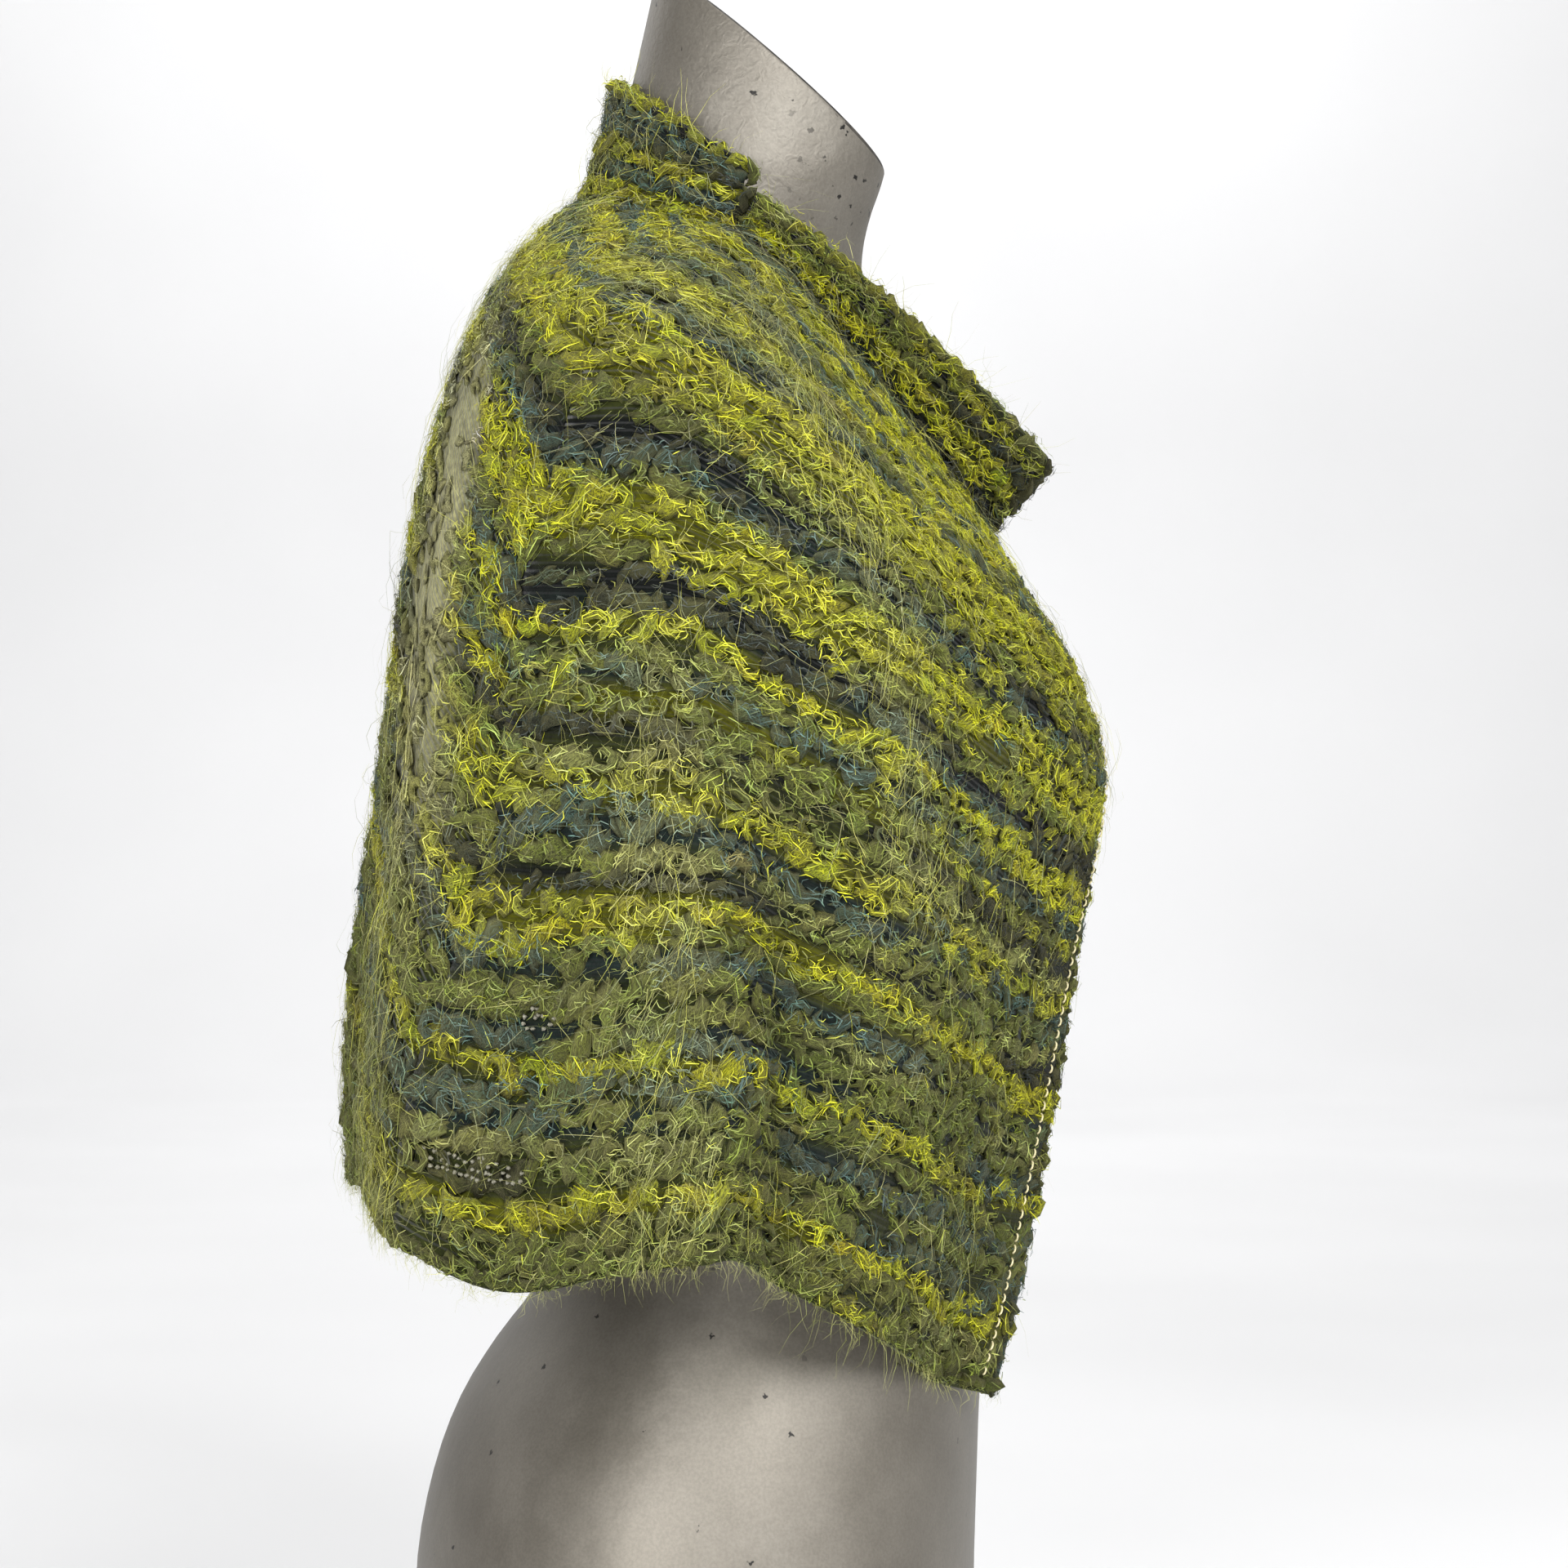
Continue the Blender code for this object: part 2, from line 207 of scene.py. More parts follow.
# Worn spots on the right front, at angles and rings with half their breadth and height
Spot = namedtuple("Spot", "angle breadth place height")
NET_SPOTS = (Spot(30, 8.5, 11.82, 0.14), Spot(19.8, 3, 10.53, 0.1))
NET_STEP_ANGLE = 0.9
NET_STEP_PLACE = 0.07
NET_LIFT = 0.0026
NET_RISE = 0.0008
NET_LENGTH = (0.0012, 0.0019)
NET_WIDTH = (0.0012, 0.0018)
NET_SHADE = 0.85
NET_GROUND = (226, 222, 206)

# The stretch behind the right shoulder where the pile is flatter and sparser and painted pale beige as a
# sheen, between angles and between rings
FLAT_SHEEN_SHARE = 0.85
FLAT_SHEEN_LOSS = 0.68
FLAT_SHEEN_FRONT = (33, 40)
FLAT_SHEEN_BACK = (50, 68)
FLAT_SHEEN_RINGS = (3.2, 5.4, 7, 10.5)
BORDER_ANGLE = 36
BORDER_WIDTH = 2.5
BORDER_RINGS = (3.8, 4.6, 7, 8.5)
NUB_SHARE = 0.3

# Where the pile is painted with highlight, and combed flatter, or painted with shade: centre and width, or
# start and end, by angle or by ring
RIDGE_WIDTH = 5
RIDGE_RINGS = (0, 2, 8, 11)
SIDE_TURN = (2, 6)
SIDE_RINGS = (6.5, 8.5)
CORNER_TURN = (45, 12)
CORNER_RINGS = (5, 7)
SHOULDER_TURN = (0, 16)
SHOULDER_RINGS = (2.6, 1.5)
VALLEY_TURN = (-17, 5)
VALLEY_RINGS = (7.5, 10)
FACING_TURN = (-42, -20)
FACING_RINGS = (8, 10)
YOKE_TURN = (2, 14)
YOKE_RINGS = (5.2, 1.2)
CHEST_RINGS = (5.8, 1.8)
LOW_TURN = (-5, 15)
LOW_RINGS = (8.5, 11)
TUFT_TURN = (-32, 8)

# How much paler or darker the loops are painted there, as highlight or shade
PAINTED_HIGHLIGHT_SHARE = 0.22
VALLEY_SHADE = 0.45
YOKE_SHADE = 0.36
LOW_SHADE = 0.2
CHEST_SHARE = 0.4

# The cloth's shell, and the loops of yarn on it and over its edges
SHELL_OUTER = 0.0004
SHELL_INNER = 0.0014
COLLAR_SHELL = 0.0012
RIB_HEIGHT = 0.0005
LOOP_SPACING = 0.0082
LOOP_RISE = 0.0029
LOOP_BREADTH = 0.0085
LOOP_LIFT = 0.0012
LOOP_SIDES = 4
LOOP_RINGS = 6
HEADING_STEP = 0.002
BODY_PITCH = (0.0045, 0.0105)
COLLAR_PITCH = (0.004, 0.0095)
COLLAR_FACES = ((1.0, 0.0018), (-1.0, 0.0014))
COLLAR_FINE = 0.8
COLLAR_SHADE = 0.84
BACK_SLOPE = 1.25
SPARE_COURSES = 5
EDGE_COURSE = 45
EDGE_LOOP_WIDTH = 0.0068
EDGE_LOOP_RISE = 0.0030
Rim = namedtuple("Rim", "size inset")
FRONT_HEM = Rim(0.9, 0.0032)
BACK_HEM = Rim(0.9, 0.0016)
FRONT_EDGE = Rim(0.55, 0.0034)
COLLAR_TOP = Rim(1.05, 0.0016)
COLLAR_END = Rim(1.0, -0.0032)

# The share of each colour's loops that are open curls
CURL_SHARES = {"l": 0.5, "y": 0.45, "m": 0.35, "g": 0.35, "s": 0.25, "i": 0.25}
CURL_TURN = 2.6

# Fibres over the loops, and loose hairs: how many, and from what to what they measure
FIBRE_POINTS = 3
FIBRES_EACH = 16
MATTED_EACH = 7
FIBRE_REACH = (0.0028, 0.0068)
FIBRE_BREADTH = (0.00018, 0.00046)
FIBRE_BRIGHTEST = 0.62
HAIR_POINTS = 4
FRONT_HAIRS = 4200
BACK_HAIRS = 5000
HEM_HAIRS = 420
LAPEL_HAIRS = 380
COLLAR_HAIRS = 700
Hair = namedtuple("Hair", "length root wave droop width")
BODY_HAIR = Hair((0.006, 0.026), (0.0022, 0.0042), (0.0004, 0.0022), (0.0, 0.002), (0.0001, 0.00021))
HEM_HAIR = Hair((0.003, 0.02), (-0.001, 0.003), (0.0008, 0.003), (0.0, 0.002), (0.0001, 0.00018))
COLLAR_HAIR = Hair((0.003, 0.024), (0.002, 0.0045), (0.0003, 0.0015), (0.0, 0.001), (0.00012, 0.00024))
HEM_LIFT = (0.0, 0.003)
COLLAR_LIFT = (0.0004, 0.004)
STANDING_SHARE = 0.12
STANDING_LIFT = (0.002, 0.0055)
LYING_LIFT = (0.0004, 0.0022)

# The front edge flares before a shallow hollow, in millimetres, and is topstitched
EDGE_FLARE = 3.0
FLARE_WIDTH = 14
EDGE_HOLLOW = 5.5
HOLLOW_AT = 32
HOLLOW_WIDTH = 15
PRESSED = (0.018, 0.026)
STITCH_FIRST = 0.36
STITCH_LAST = 0.995
STITCH_INSET = (0.016, 0.013)
STITCH_LIFT = 0.0031
STITCH_PITCH = 0.0047
STITCH_LENGTH = (0.0029, 0.0036)
STITCH_SINK = 0.0008
STITCH_RADIUS = 0.00036
STITCH_RINGS = 6
STITCH_SIDES = 6
NEAR_EDGE = 0.05


def linear(colour):
    value = np.asarray(colour, float) / 255
    return np.where(value < 0.04045, value / 12.92, ((value + 0.055) / 1.055) ** 2.4)


def opaque(colour):
    return (*linear(colour), 1.0)


def grey(value):
    return (value, value, value)


def smooth_step(low, high, value):
    share = np.clip((value - low) / (high - low), 0.0, 1.0)
    return share * share * (3.0 - 2.0 * share)


def window(value, opens, opened, closes, closed):
    """One between opened and closes, and zero before and after."""
    return smooth_step(opens, opened, value) * (1.0 - smooth_step(closes, closed, value))


def bell(value, centre, width):
    return np.exp(-(((value - centre) / width) ** 2))


def unit(vectors):
    return vectors / np.maximum(np.linalg.norm(vectors, axis=-1, keepdims=True), 1e-9)


def between_rows(table, place):
    """A row of the table at a place between its rows, on a Catmull-Rom curve."""
    table = np.array(table, float)
    last = len(table) - 1
    low = int(np.clip(np.floor(place), 0, last - 1))
    t = place - low
    before, here, after, beyond = (table[np.clip(low + step, 0, last)] for step in (-1, 0, 1, 2))
    slope = (after - before) / 2
    next_slope = (beyond - here) / 2
    return (
        (2 * t**3 - 3 * t**2 + 1) * here
        + (t**3 - 2 * t**2 + t) * slope
        + (3 * t**2 - 2 * t**3) * after
        + (t**3 - t**2) * next_slope
    )


def ring_at(place):
    return Ring(*between_rows(RINGS, place))


def fold_angle(fold, place):
    share = np.clip((place - fold.first) / (fold.last - fold.first), 0.0, 1.0)
    return fold.first_angle + share * (fold.last_angle - fold.first_angle)


def fold_height(folds, angle, place):
    total = np.zeros_like(angle)
    for fold in folds:
        centre = fold_angle(fold, place)
        fade = window(place, fold.first, fold.first + FOLD_FADE, fold.last - FOLD_FADE, fold.last)
        total += fade * fold.height * bell(angle, centre, fold.width)
    return total


def front_angle(ring):
    return -np.degrees(np.arccos((ring.edge_x / ring.side_x) ** (ring.front_n / 2.0)))


def ring_points(side, angle, place):
    """Points of the cloth's middle surface at these angles of one ring. Side is -1 right, +1 left."""
    ring = ring_at(place)
    turn = np.radians(angle)
    in_front = angle < 0
    power = 2.0 / np.where(in_front, ring.front_n, ring.back_n)
    last_angle = np.where(in_front, front_angle(ring), 90.0)
    share = np.abs(np.sin(turn) / np.sin(np.radians(last_angle))) ** power
    depth = np.where(in_front, ring.front_y - ring.side_y, ring.back_y - ring.side_y)
    across = ring.side_x * np.cos(turn) ** power
    along = depth * share
    end_z = np.where(in_front, ring.front_z, ring.back_z)
    eased = share**2 / (share + SLOPE_EASE) * (1.0 + SLOPE_EASE)
    height = ring.side_z + (end_z - ring.side_z) * eased
    height += ring.dip * bell(angle, DIP_ANGLE, DIP_WIDTH)
    out_x = across / ring.side_x**2
    out_y = along / depth**2
    folds = RIGHT_FOLDS if side < 0 else LEFT_FOLDS
    out = fold_height(folds, angle, place) / np.hypot(out_x, out_y)
    across = across + out * out_x
    along = along + out * out_y
    return np.stack([side * across, ring.side_y + along, height], axis=1) * MM


def lengths(points):
    steps = np.linalg.norm(np.diff(points, axis=0), axis=1)
    return np.concatenate([[0.0], np.cumsum(steps)])


def at_lengths(points, length):
    known = lengths(points)
    return np.stack([np.interp(length, known, points[:, k]) for k in range(points.shape[1])], axis=1)


def edge_shift(inward, place):
    """How far back the cloth lies beside its front edge, which stands forward of a shallow hollow."""
    hollow = EDGE_HOLLOW * bell(inward, HOLLOW_AT, HOLLOW_WIDTH) * smooth_step(6.5, 8.5, place)
    flare = EDGE_FLARE * bell(inward, 0, FLARE_WIDTH) * smooth_step(7, 9.5, place)
    return hollow - flare


def front_lines(side, rows, columns):
    """Points and angles of a front panel, from the front edge to the seam, ring by ring."""
    found = []
    for place in np.linspace(0, LAST_RING, rows + 1):
        ring = ring_at(place)
        angle = np.linspace(front_angle(ring), ring.seam_angle, RING_SAMPLES)
        line = ring_points(side, angle, place)
        length = np.linspace(0.0, lengths(line)[-1] - SEAM_GAP, columns + 1)
        turn = np.interp(length, lengths(line), angle)
        points = at_lengths(line, length)
        points[:, 1] += edge_shift(length / MM, place) * MM
        found.append(np.column_stack([points, turn]))
    return np.array(found)


def back_lines(rows, columns):
    """Points and angles of the back, from the right seam over the centre to the left seam."""
    found = []
    for place in np.linspace(0, LAST_RING, rows + 1):
        angle = np.linspace(ring_at(place).seam_angle, 90.0, RING_SAMPLES)
        right = ring_points(-1, angle, place)
        left = ring_points(1, angle[::-1], place)
        line = np.concatenate([right, left[1:]])
        turns = np.concatenate([angle, 180.0 - angle[::-1][1:]])
        length = np.linspace(SEAM_GAP, lengths(line)[-1] - SEAM_GAP, columns + 1)
        turn = np.interp(length, lengths(line), turns)
        found.append(np.column_stack([at_lengths(line, length), turn]))
    return np.array(found)


def collar_strip(side, tops, first_angle, last_angle, rows, columns):
    """Points and angles of a strip that bends up from the neck seam to its top edge."""
    angle = np.linspace(first_angle, last_angle, RING_SAMPLES)
    seam = ring_points(side, angle, 0.0)
    share = np.linspace(0.0, 1.0, columns + 1)
    length = share * lengths(seam)[-1]
    base = at_lengths(seam, length)
    turn = np.interp(length, lengths(seam), angle)
    off = unit(base - ring_points(side, turn, BELOW_SEAM))
    table = np.array(tops, float)
    curves = [np.polyfit(table[:, 0], table[:, k], 2) for k in (1, 2, 3)]
    top = np.stack([np.polyval(curve, share) for curve in curves], axis=1)
    top *= np.array([side, 1.0, 1.0]) * MM
    turned = np.linalg.norm(np.cross(unit(top - base), off), axis=1)[:, None]
    base = base + off * (COLLAR_GAP + turned * COLLAR_WALL / 2)
    bend = (base + top) / 2 + COLLAR_BULGE * off
    found = []
    for t in np.linspace(0.0, 1.0, rows + 1):
        line = (1 - t) ** 2 * base + 2 * t * (1 - t) * bend + t**2 * top
        found.append(np.column_stack([line, turn]))
    return np.array(found)


def lapel_lines(side, rows, columns):
    last = RINGS[0].seam_angle - NOTCH_GAP / 2
    return collar_strip(side, LAPEL_TOPS, front_angle(RINGS[0]), last, rows, columns)


def collar_back_lines(rows, columns):
    first = RINGS[0].seam_angle + NOTCH_GAP / 2
    right, left = (
        collar_strip(side, COLLAR_BACK_TOPS, first, 90.0, rows, columns // 2) for side in (-1, 1)
    )
    return np.concatenate([right, left[:, -2::-1]], axis=1)


def grid_faces(rows, columns):
    low = np.arange(rows * (columns + 1)).reshape(rows, columns + 1)[:, :-1].ravel()
    return np.stack([low, low + 1, low + columns + 2, low + columns + 1], axis=1)


def new_piece(name, points, faces, material=None, colour=None, strand=None):
    """A smooth mesh object from arrays. Faces are arrays of corner numbers, one for each face size."""
    mesh = bpy.data.meshes.new(name)
    corners = np.concatenate([part.ravel() for part in faces]).astype(np.int32)
    sizes = np.concatenate([np.full(len(part), part.shape[1]) for part in faces])
    starts = np.concatenate([[0], np.cumsum(sizes)[:-1]]).astype(np.int32)
    mesh.vertices.add(len(points))
    mesh.vertices.foreach_set("co", np.asarray(points, np.float32).ravel())
    mesh.loops.add(len(corners))
    mesh.loops.foreach_set("vertex_index", corners)
    mesh.polygons.add(len(sizes))
    mesh.polygons.foreach_set("loop_start", starts)
    mesh.update(calc_edges=True)
    mesh.validate()
    if colour is not None:
        layer = mesh.attributes.new("yarn", "FLOAT_COLOR", "POINT")
        rgba = np.column_stack([colour, np.ones(len(colour))])
        layer.data.foreach_set("color", rgba.astype(np.float32).ravel())
    if strand is not None:
        layer = mesh.attributes.new("strand", "FLOAT_VECTOR", "POINT")
        layer.data.foreach_set("vector", np.asarray(strand, np.float32).ravel())
    mesh.shade_smooth()
    if material is not None:
        mesh.materials.append(material)
    obj = bpy.data.objects.new(name, mesh)
    bpy.context.scene.collection.objects.link(obj)
    return obj


def tube_faces(count, rings, sides):
    """Faces of closed tubes whose points run round each ring in turn."""
    number = np.arange(count * rings * sides).reshape(count, rings, sides)
    beside = np.roll(number, -1, axis=2)
    quads = np.stack([number[:, :-1], beside[:, :-1], beside[:, 1:], number[:, 1:]], axis=-1)
    ends = np.concatenate([number[:, 0, ::-1], number[:, -1]])
    return [quads.reshape(-1, 4), ends]


def ribbons_piece(name, points, colour, material):
    """Thin ribbons as one mesh, from pairs of points along each one."""
    count, steps = points.shape[:2]
    number = np.arange(count * steps * 2).reshape(count, steps, 2)
    corners = [number[:, :-1, 0], number[:, :-1, 1], number[:, 1:, 1], number[:, 1:, 0]]
    quads = np.stack(corners, axis=-1).reshape(-1, 4)
    return new_piece(name, points.reshape(-1, 3), [quads], material, np.repeat(colour, steps * 2, axis=0))


def kept_clear(lines, wall):
    """The grid's points, pushed off the form as the solids are."""
    rows, columns = lines.shape[0] - 1, lines.shape[1] - 1
    trial = new_piece("trial", lines[:, :, :3].reshape(-1, 3), [grid_faces(rows, columns)])
    clear = trial.modifiers.new("Clear of the form", "SHRINKWRAP")
    clear.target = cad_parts["dress_form"]
    clear.wrap_method = "NEAREST_SURFACEPOINT"
    clear.wrap_mode = "OUTSIDE"
    clear.offset = wall / 2 + REST_GAP
    bpy.context.view_layer.update()
    shaped = trial.evaluated_get(bpy.context.evaluated_depsgraph_get())
    found = np.zeros(len(shaped.data.vertices) * 3, np.float32)
    shaped.data.vertices.foreach_get("co", found)
    data = trial.data
    bpy.data.objects.remove(trial)
    bpy.data.meshes.remove(data)
    return found.reshape(rows + 1, columns + 1, 3).astype(float)


class Cloth:
    """A cloth piece's middle surface as a grid, with its directions, angles and knit courses."""

    def __init__(self, lines, wall, codes):
        self.middle = kept_clear(lines, wall)
        self.angle = lines[:, :, 3]
        self.codes = codes
        self.rows = lines.shape[0] - 1
        self.columns = lines.shape[1] - 1
        self.share = np.linspace(0, 1, self.rows + 1)[:, None] + 0 * self.angle
        self.along = unit(np.gradient(self.middle, axis=1))
        self.down = unit(np.gradient(self.middle, axis=0))
        out = unit(np.cross(self.along, self.down))
        away = (self.middle - BODY_AXIS) * np.array([1.0, 1.0, 0.0])
        self.out = out * np.sign(np.sum(out * away))

    def at(self, values, u, v):
        """Values of the grid at shares u across and v down, between its points."""
        x = np.clip(u, 0.0, 1.0) * self.columns
        y = np.clip(v, 0.0, 1.0) * self.rows
        i = np.minimum(x.astype(int), self.columns - 1)
        j = np.minimum(y.astype(int), self.rows - 1)
        s, t = x - i, y - j
        if values.ndim == 3:
            s, t = s[:, None], t[:, None]
        upper = (1 - s) * values[j, i] + s * values[j, i + 1]
        lower = (1 - s) * values[j + 1, i] + s * values[j + 1, i + 1]
        return (1 - t) * upper + t * lower

    def axes_at(self, u, v):
        """The place at shares u and v, and the directions out of the cloth, along and down there."""
        out, along, down = (unit(self.at(axis, u, v)) for axis in (self.out, self.along, self.down))
        return self.at(self.middle, u, v), out, along, down

    def pitch(self, u, v, step, least, most):
        """The breadth of a course that is a share of the cloth high."""
        upper = self.at(self.middle, u, v - step / 2)
        lower = self.at(self.middle, u, v + step / 2)
        return np.clip(np.linalg.norm(upper - lower, axis=1), least, most)


def course_places():
    """The share from neck to hem of each course, evenly spaced down the side."""
    place = np.linspace(0, LAST_RING, 400)
    side = np.concatenate([ring_points(-1, np.array([0.0]), one) for one in place])
    length = lengths(side)
    count = len(COURSES)
    return np.interp((np.arange(count + 6) + 0.5) / count * length[-1], length, place / LAST_RING)


def drift(position, reach):
    """Smooth random values from 0 to 1 along a line."""
    knots = rng.random(int(position.max() / reach) + 3)
    return np.interp(position / reach + rng.random(), np.arange(len(knots)), knots)


def dye_colours(code, position):
    """Colours of the yarn along one course."""
    first, second = (linear(DYES[letter]) for letter in code)
    share = smooth_step(0.64, 0.78, drift(position, 0.06) + rng.normal(0, 0.06, len(position)))
    colour = first + share[:, None] * (second - first)
    colour = colour * rng.uniform(0.82, 1.15, (len(position), 1))
    return colour * rng.normal(1.0, 0.04, (len(position), 3))


def main_dyes(codes, course):
    """The main colour at places counted in courses."""
    dyes = np.array([linear(DYES[code[0]]) for code in codes])
    return dyes[np.clip(course.astype(int), 0, len(codes) - 1)]


Loops = namedtuple("Loops", "at along out length width rise slant bow curl start colour u v")
Hairs = namedtuple("Hairs", "root lie out length lift wave droop width colour")


def joined(*parts):
    """Several sets of loops or hairs as one."""
    return type(parts[0])(*(np.concatenate(column) for column in zip(*parts)))


def picked(loops, pick):
    return Loops(*(part[pick] for part in loops))


def spread_along(cloth, u, v, spacing, uneven):
    """Lengths along a line of the cloth, with the shares u and v and the line's direction there."""
    line = cloth.at(cloth.middle, u, v)
    length = lengths(line)
    count = int(length[-1] / spacing)
    place = (np.arange(count) + 0.5 + rng.uniform(-uneven, uneven, count)) * length[-1] / max(count, 1)
    ahead = at_lengths(line, np.minimum(place + HEADING_STEP, length[-1]))
    behind = at_lengths(line, np.maximum(place - HEADING_STEP, 0.0))
    return place, np.interp(place, length, u), np.interp(place, length, v), unit(ahead - behind)


def course_loops(cloth, u, v, pitch, index, lift, outward=1.0, fine=1.0):
    """Loops along one course, which runs through the shares u and v, or None if it is too short."""
    spacing = LOOP_SPACING * fine
    place, here_u, here_v, along = spread_along(cloth, u, v, spacing, 0.22)
    count = len(place)
    if count < 1:
        return None
    at, out, _, _ = cloth.axes_at(here_u, here_v)
    out = out * outward
    width = np.interp(here_u, np.linspace(0, 1, len(pitch)), pitch)
    tight = np.clip(width / (LOOP_BREADTH * fine), 0.5, 1.05)
    code = cloth.codes[min(index, len(cloth.codes) - 1)]
    return Loops(
        at + out * (lift + rng.normal(0, 0.0005, count))[:, None],
        along,
        out,
        spacing * tight**0.5 * rng.uniform(1.2, 2.0, count),
        width * rng.uniform(0.85, 1.35, count),
        LOOP_RISE * fine * tight * rng.uniform(0.55, 1.05, count),
        width * rng.normal(0.1, 0.26, count),
        width * rng.normal(0.0, 0.24, count),
        (rng.random(count) < CURL_SHARES[code[0]] * tight).astype(float),
        rng.uniform(0, 2 * np.pi, count),
        dye_colours(code, place),
        here_u,
        here_v,
    )


def yarn_points(loops, step, turn, puff):
    """Points on each loop's yarn, in its own axes: along its course, across it and out of the cloth.

    A loop is a bent lump of brushed yarn whose ends sink in, or an open curl round a small pit. Step
    runs from one end to the other, turn goes round the yarn and puff swells it.
    """
    ones = [1] * (step.ndim - 1)
    length, width, rise, slant, bow, curl, start = (part.reshape(-1, *ones) for part in loops[3:10])
    body = np.maximum(np.sqrt(np.clip(1 - np.abs(step) ** 3, 0, 1)), 0.25)
    sunk = np.minimum(np.abs(step), 1) ** 3
    lump = (
        length / 2 * step + 0 * turn,
        slant * step + bow * (1 - step**2) + width / 2 * body * np.cos(turn) * puff,
        rise * (body * np.sin(turn) * puff - 0.9 * sunk),
    )
    bend = start + CURL_TURN * step
    thick = 0.21 * width * body * puff
    open_curl = (
        (0.33 * length + thick * np.cos(turn)) * np.cos(bend),
        0.3 * bow + (0.36 * width + thick * np.cos(turn)) * np.sin(bend),
        0.2 * rise + thick * np.sin(turn) - 0.8 * rise * sunk,
    )
    return np.where(curl[..., None] > 0.5, np.stack(open_curl, axis=-1), np.stack(lump, axis=-1))


def placed(loops, local):
    """Points in the loops' own axes, put where the loops are."""
    axes = np.stack([loops.along, np.cross(loops.out, loops.along), loops.out], axis=1)
    return loops.at[:, None, None] + np.einsum("nabk,nkj->nabj", local, axes)


def loops_piece(name, loops, material):
    """All the loops' yarn as one mesh, each loop painted darker towards the cloth as shade."""
    count = len(loops.at)
    shape = (count, LOOP_RINGS, LOOP_SIDES)
    step = np.linspace(-1, 1, LOOP_RINGS)[None, :, None] + np.zeros(shape)
    turn = np.linspace(0, 2 * np.pi, LOOP_SIDES, endpoint=False)[None, None, :]
    turn = turn + rng.normal(0, 0.7, (count, 1, 1)) * step + rng.uniform(0, 1.6, (count, 1, 1))
    rough = 1 + np.clip(rng.normal(0, 0.27, shape), -0.5, 0.5)
    points = placed(loops, yarn_points(loops, step, turn, rough))
    seed = rng.uniform(0, 90, (count, 1, 1))
    twist = turn + 1.3 * step
    strand = np.stack([seed + 0.7 * step, np.cos(twist) + seed, np.sin(twist) + 0 * seed], axis=-1)
    # Painted shade: each loop is darker on its side towards the cloth and lighter on its outer side.
    shade = 0.07 + 0.5 * (0.5 + 0.5 * np.sin(turn)) ** 1.3
    colour = loops.colour[:, None, None, :] * shade[..., None]
    return new_piece(
        name,
        points.reshape(-1, 3),
        tube_faces(*shape),
        material,
        colour.reshape(-1, 3),
        strand.reshape(-1, 3),
    )


def lying_fibres(loops, t):
    """Paths of fibres that lie over the loops and mat them together, in the loops' own axes."""
    single = (len(loops.at), 1)
    turn = rng.uniform(0, 2 * np.pi, single) + rng.normal(0, 1.0, single) * t
    reach = rng.uniform(*FIBRE_REACH, single) * (t - 0.5)
    x = loops.length[:, None] * rng.uniform(-0.5, 0.5, single) + reach * np.cos(turn)
    y = loops.width[:, None] * rng.uniform(-0.5, 0.5, single) + reach * 0.7 * np.sin(turn)
    z = loops.rise[:, None] * rng.uniform(0.45, 1.05, single) + 0.0006 * np.sin(np.pi * t)
    return np.stack([x, y, z], axis=-1)


def fibres_piece(name, loops):
    """Fibres that curl over the loops, as thin ribbons in one mesh."""
    loops_count = len(loops.at)
    loops = picked(loops, np.repeat(np.arange(loops_count), FIBRES_EACH))
    count = len(loops.at)
    single = (count, 1)
    t = np.linspace(0, 1, FIBRE_POINTS)[None, :]
    step = rng.uniform(-1.1, 0.4, single) + rng.uniform(0.4, 1.1, single) * t
    step = np.clip(step, -1.15, 1.15)
    turn = rng.uniform(0.1, 3.05, single) + rng.normal(0, 0.8, single) * t
    puff = 1.06 + rng.uniform(0.0, 0.35, single) * np.sin(np.pi * t)
    local = yarn_points(loops, step, turn, puff)
    radial = unit(yarn_points(loops, step, turn, puff + 0.2) - local)
    stray = rng.normal(0, 0.0014, single) * t**2
    raised = 0.0002 + rng.uniform(0, 0.034, single) ** 2 * t * (1.6 - t)
    local = local + np.stack([0 * stray, stray, raised], axis=-1)
    matted = np.tile(np.arange(FIBRES_EACH) < MATTED_EACH, loops_count)[:, None, None]
    local = np.where(matted, lying_fibres(loops, t), local)
    radial = np.where(matted, np.array([0.0, 0.0, 1.0]), radial)
    flat = unit(np.cross(np.gradient(local, axis=1), radial))
    taper = np.maximum(1.0 - 0.7 * (2 * t[..., None] - 0.8) ** 2, 0.2)
    half = flat * rng.uniform(*FIBRE_BREADTH, (count, 1, 1)) / 2 * taper
    points = placed(loops, np.stack([local - half, local + half], axis=2))
    other = np.array([linear(DYES[letter]) for letter in "lmgsy"])[rng.integers(0, 5, count)]
    colour = loops.colour
    colour = colour + np.where(rng.random(single) < 0.06, 0.7, 0.0) * (other - colour)
    colour = colour * np.clip(rng.lognormal(-0.05, 0.42, single), 0.25, 1.6)
    return ribbons_piece(name, points, np.minimum(colour, FIBRE_BRIGHTEST), mohair)


